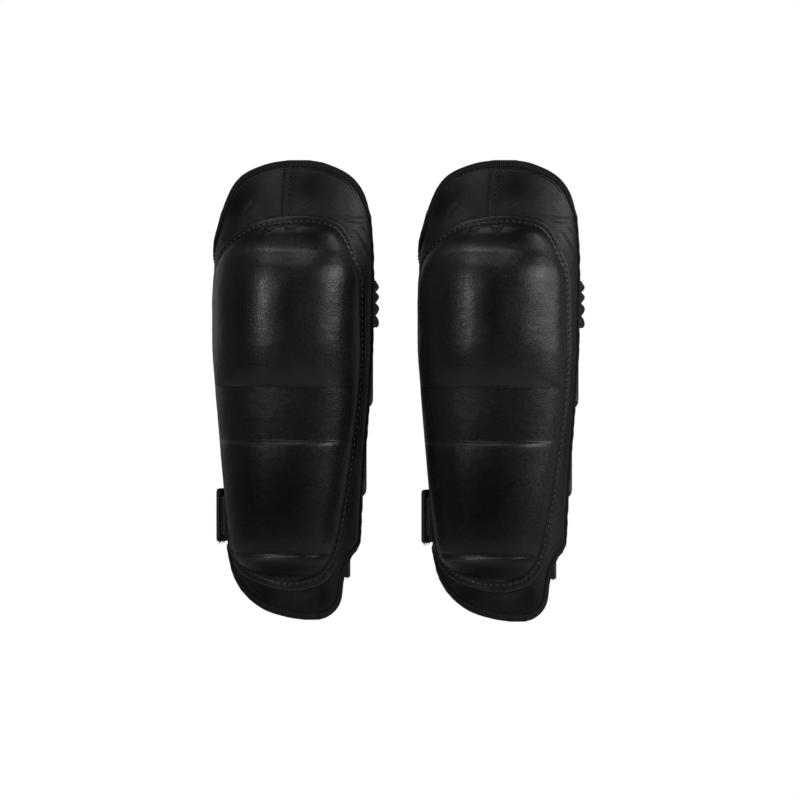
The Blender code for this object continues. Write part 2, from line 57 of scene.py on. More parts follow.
STITCH_INSET = 0.0046        # stitching inside the shell's edge
STITCH_PITCH = 0.0058
STITCH_LENGTH = 0.0027
THREAD_RADIUS = 0.00055
DOME_SQUARENESS = 2.15
STRAP_WIDTH = 0.046
STRAP_THICK = 0.0022
RING_STRAP_BULGE = 0.041     # how far the straps arch behind their own ends
UPPER_STRAP_BULGE = 0.028
STRAP_RIPPLE = 0.00030       # puckers of the elastic
RIPPLE_PITCH = 0.0034
TAB_INNER = 0.0032
TAB_THICK = 0.0040
TAB_FRONT_Y = -0.004
TAB_BACK = 0.0095
TAB_HEIGHT = 0.050
ROD_RADIUS = 0.0018
FRONT_ROD = 0.0085
REAR_ROD = 0.0205
FRONT_ROD_INSET = 0.0055
REAR_ROD_INSET = 0.0078
FOLD_RADIUS = 0.0024
RING_HEIGHT = 0.054
SEWN_START = 0.0035          # where sewn webbing starts, behind the backing's edge
FREE_END = 0.008             # elastic's free end, behind the ring
SEWN_OVERLAP = 0.0010        # how far the elastic's end reaches into the piece it is sewn to
BEHIND_TAB = 0.004           # tabs behind the backing: front end, length and thickness
BEHIND_LENGTH = 0.029
BEHIND_THICK = 0.0029
TONGUE_PROUD = 0.0005
TAB_THREADS = 26             # loose threads at a cut edge
TAIL_THREADS = 9
SLEEVE_LENGTH = 0.020
SLEEVE_HEIGHT = 0.044
SLEEVE_FOLDS = 4
SLEEVE_SWELL = 0.0045
SLEEVE_OUTER = 0.0024
SLEEVE_INNER = 0.0068

# Backing: height, half width and how far its front stands before the leg axis
BACKING_SECTIONS = [
    (0.000, 0.0540, 0.0330), (0.030, 0.0575, 0.0330), (0.045, 0.0592, 0.0330), (0.072, 0.0615, 0.0330),
    (0.100, 0.0625, 0.0330), (0.150, 0.0662, 0.0330), (0.200, 0.0702, 0.0330), (0.250, 0.0735, 0.0330),
    (0.330, 0.0745, 0.0330), (0.380, 0.0745, 0.0300), (0.430, 0.0735, 0.0200),
]
# Outlines: height, then how much of the wrap is covered to the left and to the right
BACKING_OUTLINE = [
    (0.0026, 0.26, 0.42), (0.0050, 0.07, 0.51), (0.0105, -0.16, 0.60), (0.0190, -0.35, 0.66),
    (0.0310, -0.52, 0.67), (0.0450, -0.66, 0.69), (0.0600, -0.74, 0.78), (0.0680, -0.91, 0.93),
    (0.0760, -1.00, 1.00), (0.1000, -1.00, 1.00), (0.1700, -1.00, 1.00), (0.2500, -1.00, 1.00),
    (0.3180, -1.00, 1.00), (0.3430, -0.865, 0.98), (0.3660, -0.715, 0.93), (0.3860, -0.62, 0.84),
    (0.4040, -0.53, 0.74), (0.4160, -0.40, 0.61), (0.4245, -0.17, 0.41), (0.4276, 0.03, 0.24),
]
SHELL_OUTLINE = [
    (0.0276, 0.07, 0.22), (0.0292, -0.04, 0.29), (0.0325, -0.17, 0.40), (0.0380, -0.36, 0.48),
    (0.0470, -0.51, 0.55), (0.0600, -0.61, 0.60), (0.0850, -0.68, 0.66), (0.1400, -0.75, 0.74),
    (0.2200, -0.80, 0.80), (0.3000, -0.80, 0.79), (0.3250, -0.75, 0.77), (0.3420, -0.67, 0.70),
    (0.3560, -0.53, 0.64), (0.3670, -0.36, 0.57), (0.3740, -0.20, 0.46), (0.3778, 0.05, 0.24),
]
# Shell: height, then how far its middle stands before the leg axis
SHELL_PROFILE = [
    (0.0371, 0.0366), (0.0405, 0.0398), (0.0440, 0.0446), (0.0500, 0.0515), (0.0560, 0.0556),
    (0.0590, 0.0563), (0.0612, 0.0551), (0.0632, 0.0549), (0.0660, 0.0568), (0.0800, 0.0605),
    (0.1150, 0.0625), (0.1500, 0.0620), (0.1630, 0.0611), (0.1662, 0.0596), (0.1690, 0.0566),
    (0.1900, 0.0568), (0.2140, 0.0568), (0.2180, 0.0568), (0.2206, 0.0588), (0.2260, 0.0619),
    (0.2400, 0.0660), (0.2600, 0.0675), (0.2900, 0.0665), (0.3150, 0.0638), (0.3300, 0.0597),
    (0.3400, 0.0540), (0.3470, 0.0482), (0.3540, 0.0452), (0.3610, 0.0433), (0.3655, 0.0408),
    (0.3690, 0.0376), (0.3713, 0.0340),
]
GROOVES = (0.2182, 0.1688, 0.0618)
# Painted shade in the grooves: height, width and darkness
GROOVE_SHADES = [(0.2182, 0.0016, 0.9), (0.1694, 0.0009, 0.20), (0.0640, 0.0014, 0.35)]
# Small notches at the dome's top: across and height of each, and the half sizes of both
CRESCENTS = [(-0.0115, 0.3672), (0.0112, 0.3694)]
CRESCENT_HALF = (0.0056, 0.0030)

# Straps with a ring: name, height at the left edge, height at the right edge
RING_STRAPS = [("middle", 0.181, 0.228), ("lower", 0.097, 0.144)]
UPPER_LEFT_Z = 0.345
UPPER_RIGHT_Z = 0.295


# ---------------------------------------------------------------- materials
class Look:
    """A small builder for node materials on one Principled BSDF."""

    def __init__(self, name, colour, roughness, metallic=0.0, specular=0.5):
        self.material = bpy.data.materials.new(name)
        self.material.use_nodes = True
        self.tree = self.material.node_tree
        self.shader = self.tree.nodes["Principled BSDF"]
        self.colour = colour
        for key, value in (("Base Color", colour), ("Roughness", roughness), ("Metallic", metallic),
                           ("Specular IOR Level", specular)):
            self.feed(self.shader.inputs[key], value)

    def node(self, kind, **settings):
        made = self.tree.nodes.new(kind)
        for key, value in settings.items():
            setattr(made, key, value)
        return made

    def link(self, source, target):
        self.tree.links.new(source, target)

    def place(self, scale=1.0, stretch=(1, 1, 1), grid=False):
        """Positions in metres times scale: the piece's own, or the cloth's own along and across."""
        if grid:
            source = self.node("ShaderNodeAttribute", attribute_name="cloth").outputs["Vector"]
        else:
            source = self.node("ShaderNodeTexCoord").outputs["Object"]
        mapping = self.node("ShaderNodeMapping")
        mapping.inputs["Scale"].default_value = [scale * s for s in stretch]
        self.link(source, mapping.inputs["Vector"])
        return mapping.outputs["Vector"]

    def feed(self, socket, value):
        """Put a number, a colour or another node's output into a socket."""
        if isinstance(value, (int, float)):
            socket.default_value = value
        elif isinstance(value, tuple):
            socket.default_value = (*value, 1.0)
        else:
            self.link(value, socket)

    def texture(self, kind, where, output, sockets, **settings):
        """A texture of unit scale at the given positions."""
        made = self.node(kind, **settings)
        for key, number in {"Scale": 1.0, **sockets}.items():
            made.inputs[key].default_value = number
        self.link(where, made.inputs["Vector"])
        return made.outputs[output]

    def noise(self, where, detail=4.0, rough=0.55):
        return self.texture("ShaderNodeTexNoise", where, "Fac", {"Detail": detail, "Roughness": rough})

    def cells(self, where, feature="F1", smooth=None):
        sockets = {} if smooth is None else {"Smoothness": smooth}
        return self.texture("ShaderNodeTexVoronoi", where, "Distance", sockets, feature=feature)

    def wave(self, where, direction="X", distortion=0.0):
        return self.texture("ShaderNodeTexWave", where, "Fac", {"Distortion": distortion},
                            bands_direction=direction, wave_profile="SIN")

    def math(self, operation, first, second):
        made = self.node("ShaderNodeMath", operation=operation)
        for socket, value in zip(made.inputs, (first, second)):
            self.feed(socket, value)
        return made.outputs[0]

    def remap(self, value, low, high, to_low, to_high):
        made = self.node("ShaderNodeMapRange")
        for key, number in (("From Min", low), ("From Max", high), ("To Min", to_low), ("To Max", to_high)):
            made.inputs[key].default_value = number
        self.link(value, made.inputs["Value"])
        return made.outputs["Result"]

    def mix_colour(self, factor, first, second):
        made = self.node("ShaderNodeMix", data_type="RGBA")
        for index, value in ((0, factor), (6, first), (7, second)):
            self.feed(made.inputs[index], value)
        return made.outputs[2]

    def paint(self, *layers):
        """Base colour: the plain colour, then each (factor, colour) over it."""
        colour = self.colour
        for factor, over in layers:
            colour = self.mix_colour(factor, colour, over)
        self.link(colour, self.shader.inputs["Base Color"])

    def roughness(self, value):
        self.link(value, self.shader.inputs["Roughness"])

    def bump(self, *layers):
        """Each layer is (height, distance in metres, strength), the coarsest first."""
        normal = None
        for height, distance, strength in layers:
            made = self.node("ShaderNodeBump")
            made.inputs["Distance"].default_value = distance
            made.inputs["Strength"].default_value = strength
            self.link(height, made.inputs["Height"])
            if normal:
                self.link(normal, made.inputs["Normal"])
            normal = made.outputs["Normal"]
        self.link(normal, self.shader.inputs["Normal"])

    def sheen(self, weight, roughness=0.4, tint=(0.6, 0.6, 0.65)):
        for key, value in (("Weight", weight), ("Roughness", roughness), ("Tint", tint)):
            self.feed(self.shader.inputs[f"Sheen {key}"], value)

    def attribute(self, name):
        return self.node("ShaderNodeAttribute", attribute_name=name).outputs["Fac"]


def painted_light_gloss(look, painted_light, plain):
    """Gloss that goes with the painted light: painted shade (above 0) shines less, painted highlights (below
    0) shine more.
    """
    look.link(look.remap(painted_light, -1.0, 1.0, 1.6 * plain, 0.2 * plain), look.shader.inputs["Specular IOR Level"])


def shell_leather():
    look = Look("shell_leather", (0.0078, 0.0077, 0.0066), 0.40)
    pebble = look.cells(look.place(900), "SMOOTH_F1", 0.3)
    small = look.cells(look.place(1300), "SMOOTH_F1", 0.5)
    fine = look.noise(look.place(2600), 3.0)
    broad = look.noise(look.place(28), 3.0)
    specks = look.noise(look.place(420), 3.0, 0.7)
    # Painted light in the colour below: patches of painted shade and painted highlight, painted highlights on
    # edges and ledges, painted shade in creases and grooves.
    edge_highlight, crease_shade, painted_light = look.attribute("edge_highlight"), look.attribute("crease_shade"), look.attribute("painted_light")
    look.paint((look.remap(broad, 0.35, 0.7, 0.0, 0.5), (0.012, 0.0117, 0.0106)),
               (look.remap(specks, 0.45, 0.7, 0.0, 0.5), (0.017, 0.0165, 0.015)),
               (look.remap(painted_light, 0.0, 1.0, 0.0, 0.7), (0.0035, 0.0035, 0.0034)),
               (look.remap(painted_light, -1.0, 0.0, 0.6, 0.0), (0.030, 0.0295, 0.028)),
               (look.remap(edge_highlight, 0.0, 1.0, 0.0, 0.5), (0.034, 0.033, 0.031)),
               (look.remap(crease_shade, 0.0, 1.0, 0.0, 0.9), (0.0015, 0.0015, 0.0015)))
    look.roughness(look.math("ADD", look.remap(specks, 0.3, 0.7, 0.22, 0.42),
                             look.math("ADD", look.remap(broad, 0.3, 0.7, -0.03, 0.05),
                                       look.remap(painted_light, -1.0, 0.0, -0.08, 0.0))))
    painted_light_gloss(look, painted_light, 0.5)
    look.bump((pebble, 0.00020, 0.50), (small, 0.00012, 0.50), (fine, 0.00005, 0.5))
    return look.material


def soft_leather():
    look = Look("soft_leather", (0.0082, 0.0079, 0.0073), 0.42)
    grain = look.cells(look.place(1300), "SMOOTH_F1", 0.8)
    pores = look.noise(look.place(500), 3.0, 0.7)
    broad = look.noise(look.place(22), 4.0)
    wrinkle = look.noise(look.place(120, (1, 1, 2.2)), 5.0, 0.6)
    # Painted light in the colour below: patches of painted shade and painted highlight, painted highlights on
    # edges, painted shade in creases, seams and puckers.
    edge_highlight, crease_shade, painted_light = look.attribute("edge_highlight"), look.attribute("crease_shade"), look.attribute("painted_light")
    look.paint((look.remap(broad, 0.35, 0.7, 0.0, 0.7), (0.015, 0.0145, 0.0135)),
               (look.remap(pores, 0.5, 0.7, 0.0, 0.4), (0.004, 0.004, 0.004)),
               (look.remap(painted_light, 0.0, 1.0, 0.0, 0.8), (0.0025, 0.0025, 0.0024)),
               (look.remap(painted_light, -1.0, 0.0, 0.7, 0.0), (0.034, 0.033, 0.0315)),
               (look.remap(edge_highlight, 0.0, 1.0, 0.0, 0.5), (0.030, 0.028, 0.026)),
               (look.remap(crease_shade, 0.0, 1.0, 0.0, 0.9), (0.0015, 0.0015, 0.0015)))
    look.roughness(look.math("ADD", look.remap(broad, 0.3, 0.7, 0.50, 0.36),
                             look.remap(pores, 0.3, 0.7, -0.05, 0.07)))
    painted_light_gloss(look, painted_light, 0.5)
    look.bump((wrinkle, 0.0013, 0.32), (pores, 0.00030, 0.35), (grain, 0.00020, 0.55))
    return look.material


def ribbed_tape():
    """The woven tape that binds the backing's edge."""
    look = Look("ribbed_tape", (0.0042, 0.0042, 0.0040), 0.75, specular=0.3)
    ribs = look.wave(look.place(150, grid=True), "X", 1.2)
    threads = look.wave(look.place(900, grid=True), "Y")
    fluff = look.noise(look.place(1500), 3.0)
    look.paint((ribs, (0.027, 0.0265, 0.0255)))
    look.roughness(look.remap(fluff, 0.3, 0.7, 0.72, 0.92))
    look.bump((ribs, 0.00080, 0.8), (threads, 0.00012, 0.5), (fluff, 0.00015, 0.4))
    look.sheen(0.06)
    return look.material


def elastic_band():
    """Knitted elastic: ribs along the band and small cross threads."""
    look = Look("elastic_band", (0.0140, 0.0140, 0.0150), 0.45)
    ribs = look.wave(look.place(430, grid=True), "Y")
    knots = look.wave(look.place(700, grid=True), "X", 1.0)
    woven = look.math("MULTIPLY", ribs, look.remap(knots, 0.0, 1.0, 0.55, 1.0))
    fluff = look.noise(look.place(900), 3.0)
    look.paint((woven, (0.045, 0.045, 0.048)))
    look.roughness(look.remap(fluff, 0.3, 0.7, 0.42, 0.60))
    look.bump((woven, 0.00045, 0.7), (fluff, 0.0001, 0.3))
    look.sheen(0.8, 0.3)
    return look.material


def webbing():
    """Plain woven strap."""
    look = Look("webbing", (0.0210, 0.0210, 0.0215), 0.58)
    along = look.wave(look.place(420, grid=True), "X")
    across = look.wave(look.place(420, grid=True), "Y")
    woven = look.math("MULTIPLY", along, across)
    fluff = look.noise(look.place(1200), 3.0)
    look.paint((woven, (0.040, 0.040, 0.041)))
    look.roughness(look.remap(fluff, 0.3, 0.7, 0.55, 0.72))
    look.bump((woven, 0.0004, 0.7), (fluff, 0.0001, 0.4))
    look.sheen(0.5)
    return look.material


def hook_face():
    look = Look("hook_face", (0.0070, 0.0070, 0.0075), 0.45)
    hooks = look.cells(look.place(900), "F1")
    rows = look.wave(look.place(520, grid=True), "X")
    stubble = look.math("MULTIPLY", look.remap(hooks, 0.0, 0.5, 1.0, 0.0), rows)
    look.paint((stubble, (0.022, 0.022, 0.024)))
    look.roughness(look.remap(hooks, 0.0, 0.6, 0.35, 0.60))
    look.bump((stubble, 0.0007, 0.8))
    return look.material


def loop_pile():
    look = Look("loop_pile", (0.0065, 0.0065, 0.0068), 0.90)
    pile = look.noise(look.place(1400), 6.0, 0.75)
    tufts = look.cells(look.place(700), "SMOOTH_F1", 0.7)
    look.paint((look.remap(pile, 0.4, 0.7, 0.0, 1.0), (0.018, 0.018, 0.019)))
    look.roughness(look.remap(tufts, 0.0, 0.6, 0.80, 0.95))
    look.bump((tufts, 0.0006, 0.6), (pile, 0.0004, 0.8))
    look.sheen(0.7, 0.5)
    return look.material


def lining_knit():
    """Soft knitted lining with a fine mesh of small holes."""
    look = Look("lining_knit", (0.0105, 0.0105, 0.0115), 0.85)
    holes = look.cells(look.place(430), "F1")
    open_mesh = look.remap(holes, 0.08, 0.32, 0.0, 1.0)
    fluff = look.noise(look.place(1600), 4.0)
    # Painted shade in the lining's sewn channels.
    crease_shade = look.attribute("crease_shade")
    look.paint((open_mesh, (0.022, 0.022, 0.024)),
               (look.remap(crease_shade, 0.0, 1.0, 0.0, 0.8), (0.003, 0.003, 0.003)))
    look.roughness(look.remap(fluff, 0.3, 0.7, 0.78, 0.92))
    look.bump((open_mesh, 0.0006, 0.6), (fluff, 0.0002, 0.5))
    look.sheen(0.35, 0.5)
    return look.material


def dull_thread():
    """The dark thread of the tape and the tabs."""
    look = Look("dull_thread", (0.012, 0.012, 0.012), 0.6)
    twist = look.wave(look.place(1100), "DIAGONAL", 2.0)
    look.paint((twist, (0.034, 0.034, 0.035)))
    look.roughness(look.remap(twist, 0.0, 1.0, 0.65, 0.50))
    look.bump((twist, 0.00010, 0.6))
    return look.material


def thread_look():
    look = Look("waxed_thread", (0.060, 0.059, 0.056), 0.38)
    twist = look.wave(look.place(900), "DIAGONAL", 2.0)
    look.paint((twist, (0.125, 0.123, 0.115)))
    look.roughness(look.remap(twist, 0.0, 1.0, 0.45, 0.30))
    look.bump((twist, 0.00012, 0.6))
    return look.material


def ring_look():
    look = Look("ring_enamel", (0.060, 0.060, 0.064), 0.16, metallic=0.85)
    haze = look.noise(look.place(90), 4.0)
    chips = look.noise(look.place(420), 6.0, 0.7)
    look.paint((look.remap(chips, 0.62, 0.70, 0.0, 0.8), (0.26, 0.26, 0.27)))
    look.roughness(look.remap(haze, 0.3, 0.7, 0.12, 0.28))
    look.bump((look.noise(look.place(300), 2.0), 0.0001, 0.3))
    return look.material


# ---------------------------------------------------------------- curves and surfaces
def spline_rows(rows, count):
    """Evenly spaced rows on a smooth curve through the given rows."""
    rows = np.array(rows, dtype=float)
    ends = np.vstack([2 * rows[0] - rows[1], rows, 2 * rows[-1] - rows[-2]])
    where = np.linspace(0, len(rows) - 1, count)
    index = np.minimum(where.astype(int), len(rows) - 2)
    step = (where - index)[:, None]
    p0, p1, p2, p3 = (ends[index + k] for k in range(4))
    return 0.5 * (2 * p1 + (p2 - p0) * step + (2 * p0 - 5 * p1 + 4 * p2 - p3) * step ** 2
                  + (3 * p1 - p0 - 3 * p2 + p3) * step ** 3)


def read_table(table, height):
    heights = [row[0] for row in table]
    return [np.interp(height, heights, column) for column in list(zip(*table))[1:]]


def smooth_profile(table, heights):
    """A curve through the table's rows that never overshoots them."""
    x, y = np.array(table).T
    step, rise = np.diff(x), np.diff(y)
    slope = rise / step
    before, after = slope[:-1], slope[1:]
    inner = np.where(before * after > 0, 2 * before * after / (before + after + 1e-12), 0.0)
    tangent = np.concatenate([[slope[0]], inner, [slope[-1]]])
    index = np.clip(np.searchsorted(x, heights) - 1, 0, len(step) - 1)
    t = np.clip((heights - x[index]) / step[index], 0, 1)
    h = step[index]
    return ((1 + 2 * t) * (1 - t) ** 2 * y[index] + t * (1 - t) ** 2 * h * tangent[index]
            + t * t * (3 - 2 * t) * y[index + 1] + t * t * (t - 1) * h * tangent[index + 1])


def section(height):
    """Half the backing's outer section: arc lengths with their x and y, from the front."""
    half, front = read_table(BACKING_SECTIONS, height)
    middle = SIDE_Y - SIDE_STRAIGHT
    turn = np.linspace(0, math.pi / 2, 160)
    x = np.append(half * np.sin(turn), half)
    y = np.append(middle - (front + middle) * np.cos(turn), SIDE_Y)
    steps = np.hypot(np.diff(x), np.diff(y))
    return np.concatenate([[0.0], np.cumsum(steps)]), x, y


def half_width(height):
    return float(read_table(BACKING_SECTIONS, height)[0])


def backing_points(along, height, out):
    """Points at signed distances round the wrap at one height, standing out from the backing."""
    lengths, x, y = section(height)
    along, out = np.broadcast_arrays(np.asarray(along, float), np.asarray(out, float))
    side, reach = np.where(along < 0, -1.0, 1.0), np.abs(along)
    slope = 0.0015
    low, high = np.clip(reach - slope, 0, None), np.minimum(reach + slope, lengths[-1])
    low = np.minimum(low, high - slope)
    dx = np.interp(high, lengths, x) - np.interp(low, lengths, x)
    dy = np.interp(high, lengths, y) - np.interp(low, lengths, y)
    flat = reach / slope
    dy = np.where(reach < slope, dy * flat, dy)
    size = np.hypot(dx, dy)
    px = np.interp(reach, lengths, x) + out * dy / size * np.minimum(flat, 1.0)
    py = np.interp(reach, lengths, y) + np.maximum(reach - lengths[-1], 0.0) - out * dx / size
    return np.stack([side * px, py, np.full_like(px, height)], axis=-1)


def lifted(spots, out):
    """Points at (arc length, height) spots, each standing out from the backing."""
    outs = np.broadcast_to(out, len(spots))
    return np.array([backing_points([s], z, [o])[0] for (s, z), o in zip(spots, outs)])


def outward(spots, way=1):
    """Directions away from the backing at (arc length, height) spots, or into it."""
    return way * (lifted(spots, 0.01) - lifted(spots, 0.0))


def outline_rows(outline, count):
    """Heights with the left and right arc length of an outline."""
    rows = spline_rows(outline, count)
    wraps = np.array([section(z)[0][-1] for z in rows[:, 0]])
    return np.column_stack([rows[:, 0], rows[:, 1] * wraps, rows[:, 2] * wraps])


def outline_loop(outline, count, step):
    """The outline as a closed loop of (arc length, height), anticlockwise from outside."""
    rows = outline_rows(outline, count)
    right = [(row[2], row[0]) for row in rows]
    left = [(row[1], row[0]) for row in reversed(rows)]
    return resample(np.array(right + left + right[:1]), step)[:-1]


def run_lengths(path):
    """Distance along a polyline at each of its points."""
    return np.concatenate([[0.0], np.cumsum(np.linalg.norm(np.diff(path, axis=0), axis=1))])


def at_lengths(spots, run, path):
    """Values of a polyline's rows at distances along it."""
    return np.column_stack([np.interp(spots, run, column) for column in path.T])


def unit(rows):
    return rows / np.linalg.norm(rows, axis=1)[:, None]


def resample(path, step):
    """The polyline as points a steady distance apart."""
    run = run_lengths(path)
    return at_lengths(np.linspace(0, run[-1], max(int(round(run[-1] / step)), 2) + 1), run, path)


def loop_inward(loop):
    """Unit directions from each point of a loop towards its inside."""
    run = unit(np.roll(loop, -2, axis=0) - np.roll(loop, 2, axis=0))
    return np.column_stack([-run[:, 1], run[:, 0]])


def loop_distance(along, height, loop):
    """For spots of one row: distance to the loop and the nearest point's share of its length."""
    start, run = loop, np.roll(loop, -1, axis=0) - loop
    spots = np.column_stack([along, np.full(len(along), height)])[:, None, :]
    part = ((spots - start) * run).sum(axis=2) / np.maximum((run ** 2).sum(axis=1), 1e-14)
    part = np.clip(part, 0, 1)
    gap = np.linalg.norm(start + run * part[..., None] - spots, axis=2)
    nearest = gap.argmin(axis=1)
    rows = np.arange(len(along))
    return gap[rows, nearest], (nearest + part[rows, nearest]) / len(loop)


def lumps(points, scale, seed=0.0):
    """Smooth noise, about -1 to 1, at each point of a grid."""
    flat = points.reshape(-1, 3) * scale + seed
    values = [noise.noise(Vector(p)) for p in flat]
    return np.array(values).reshape(points.shape[:-1])


def bell(distance, width):
    return np.exp(-(distance / width) ** 2)


def soft_spots(across, height, spots):
    """The sum of soft oval patches, each (across, height, half width, half height, amount)."""
    total = np.zeros(np.broadcast(across, height).shape)
    for middle, level, wide, tall, amount in spots:
        total += amount * np.exp(-((across - middle) / wide) ** 2 - ((height - level) / tall) ** 2)
    return total


# ---------------------------------------------------------------- meshes
def grid_faces(rows, columns):
    index = np.arange(rows * columns).reshape(rows, columns)
    a, b = index[:-1, :-1], index[:-1, 1:]
    c, d = index[1:, 1:], index[1:, :-1]
    return np.stack([a, b, c, d], axis=-1).reshape(-1, 4)


def make_piece(name, points, faces, looks, marks=None, slots=None):
    """A mesh object with point attributes and one material slot for each look."""
    mesh = bpy.data.meshes.new(name)
    mesh.from_pydata(np.asarray(points).tolist(), [], np.asarray(faces).tolist())
    for look in looks:
        mesh.materials.append(look)
    if slots is not None:
        mesh.polygons.foreach_set("material_index", np.asarray(slots, dtype=np.int32))
    for key, values in (marks or {}).items():
        values = np.asarray(values, dtype=np.float32)
        kind = "FLOAT" if values.ndim == 1 else "FLOAT_VECTOR"
        layer = mesh.attributes.new(key, kind, "POINT")
        layer.data.foreach_set("value" if kind == "FLOAT" else "vector", values.ravel())
    mesh.update()
    mesh.shade_smooth()
    piece = bpy.data.objects.new(name, mesh)
    bpy.context.scene.collection.objects.link(piece)
    return piece


def closed_grid(name, outer, inner, looks, marks=None):
    """The closed block between two matching grids: looks for its outside, its inside and its rim."""
    rows, columns = outer.shape[:2]
    count = rows * columns
    front = grid_faces(rows, columns)
    back = front[:, ::-1] + count
    edge = np.concatenate([np.arange(columns), np.arange(1, rows) * columns + columns - 1,
                           count - 2 - np.arange(columns - 1),
                           np.arange(rows - 2, 0, -1) * columns])
    after = np.roll(edge, -1)
    rim = np.stack([edge, edge + count, after + count, after], axis=-1)
    points = np.concatenate([outer.reshape(-1, 3), inner.reshape(-1, 3)])
    slots = np.concatenate([np.zeros(len(front)), np.full(len(back), 1), np.full(len(rim), 2)])
    shared = {}
    for key, value in (marks or {}).items():
        front_value = value[0].reshape(count, *value[0].shape[2:])
        shared[key] = np.concatenate([front_value, value[1].reshape(front_value.shape)])
    return make_piece(name, points, np.concatenate([front, back, rim]), looks, shared, slots)


def tube_faces(base, sides, rings):
    """Faces of an open tube whose points run ring by ring along each side in turn."""
    faces = []
    for side in range(sides):
        first, second = base + side * rings, base + (side + 1) % sides * rings
        faces.extend([first + r, first + r + 1, second + r + 1, second + r] for r in range(rings - 1))
    return faces


def stitches(name, path, normals, look, pitch=STITCH_PITCH, length=STITCH_LENGTH, radius=THREAD_RADIUS,
             closed=True):
    """Raised threads that dive at both ends, laid along a path of points with normals."""
    path = np.asarray(path, float)
    normals = np.asarray(normals, float)
    if closed:
        path, normals = np.vstack([path, path[:1]]), np.vstack([normals, normals[:1]])
    run = run_lengths(path)
    count = max(int(run[-1] / pitch), 1)
    pitch = run[-1] / count
    sides, rings = 6, 7
    parts = np.linspace(0, 1, rings)
    points, faces = [], []
    for k in range(count):
        spots = (k + 0.5) * pitch + (parts - 0.5) * length
        middle = at_lengths(spots, run, path)
        up = unit(at_lengths(spots, run, normals))
        forward = unit(np.gradient(middle, axis=0))
        sideways = np.cross(forward, up)
        arch = np.sin(math.pi * parts)[:, None]
        middle = middle + up * radius * (1.5 * arch - 0.9)
        thick = radius * (0.45 + 0.55 * np.sqrt(arch))
        base = len(points)
        for turn in np.linspace(0, 2 * math.pi, sides, endpoint=False):
            points.extend(middle + thick * (sideways * math.cos(turn) + up * math.sin(turn)))
        faces.extend(tube_faces(base, sides, rings))
    return make_piece(name, points, faces, [look])


def swept(name, rings, looks, marks=None):
    """A closed hoop of sections: rings[k] is the section at step k."""
    count, size = rings.shape[:2]
    index = np.arange(count * size).reshape(count, size)
    after, beside = np.roll(index, -1, axis=0), np.roll(index, -1, axis=1)
    corner = np.roll(after, -1, axis=1)
    faces = np.stack([index, beside, corner, after], axis=-1).reshape(-1, 4)
    shared = {key: value.reshape(count * size, *value.shape[2:]) for key, value in (marks or {}).items()}
    return make_piece(name, rings.reshape(-1, 3), faces, looks, shared)


# ---------------------------------------------------------------- shell
# Painted shade (above 0) and painted highlights (below 0) on the dome, which also make its hide duller or
# glossier: across, height, half sizes and amount
DOME_PAINTED_LIGHT = [
    (-0.004, 0.3580, 0.044, 0.0060, 0.75),
    (-0.008, 0.3478, 0.026, 0.0036, -0.45),
    (0.032, 0.3655, 0.016, 0.0050, 0.90),
    (0.000, 0.3370, 0.034, 0.0055, 0.45),
    (0.050, 0.3450, 0.012, 0.0150, 0.30),
    (-0.009, 0.2900, 0.0060, 0.0400, -0.90),
    (-0.028, 0.2950, 0.012, 0.0440, 0.60),
    (0.012, 0.2950, 0.011, 0.0460, 0.75),
    (0.060, 0.2550, 0.011, 0.0950, -0.80),
    (-0.066, 0.3000, 0.011, 0.0450, -0.75),
    (-0.066, 0.2000, 0.010, 0.0700, -0.65),
    (0.010, 0.1880, 0.060, 0.0180, 0.25),
    (0.000, 0.1150, 0.046, 0.0520, 0.95),
    (0.053, 0.1300, 0.010, 0.0500, -0.45),
    (-0.006, 0.0590, 0.021, 0.0027, -1.50),
    (0.037, 0.0590, 0.011, 0.0030, 0.55),
    (-0.002, 0.0480, 0.050, 0.0070, 0.85),
]


def flange_width(height):
    """The flange is wider round the shell's lower end."""
    return FLANGE_WIDTH + FLANGE_WIDEN * np.clip((0.060 - height) / 0.020, 0, 1)


def shell_spans(heights, loop):
    """Arc lengths between which each row of the shell stands clear of its flange, or None."""
    spans = []
    edges = outline_rows(SHELL_OUTLINE, 400)
    for z in heights:
        left, right = (np.interp(z, edges[:, 0], edges[:, k]) for k in (1, 2))
        tries = np.linspace(left, right, 500)
        clear = loop_distance(tries, z, loop)[0] - flange_width(z)
        inside = np.flatnonzero(clear >= 0)
        if len(inside) < 3:
            spans.append(None)
            continue
        ends = []
        for k, other in ((inside[0], inside[0] - 1), (inside[-1], inside[-1] + 1)):
            part = clear[k] / (clear[k] - clear[other])
            ends.append(tries[k] + (tries[other] - tries[k]) * part)
        spans.append(tuple(ends))
    return spans


def dome_heights():
    """Row heights: even, closer at the grooves and at both rounded ends."""
    low, high = SHELL_PROFILE[0][0], SHELL_PROFILE[-1][0]
    rows = list(np.arange(low + 0.0005, high, 0.0011))
    for groove in GROOVES:
        rows += list(np.arange(groove - 0.0045, groove + 0.0045, 0.0004))
    rows += list(np.arange(CRESCENTS[0][1] - 0.005, high, 0.0003))
    for end, way in ((low, 1), (high, -1)):
        rows += [end + way * 0.00006 * k * k for k in range(1, 12)]
    rows = sorted(rows)
    keep = [rows[0]]
    for z in rows[1:]:
        if z - keep[-1] > 0.00012:
            keep.append(z)
    return np.array(keep)


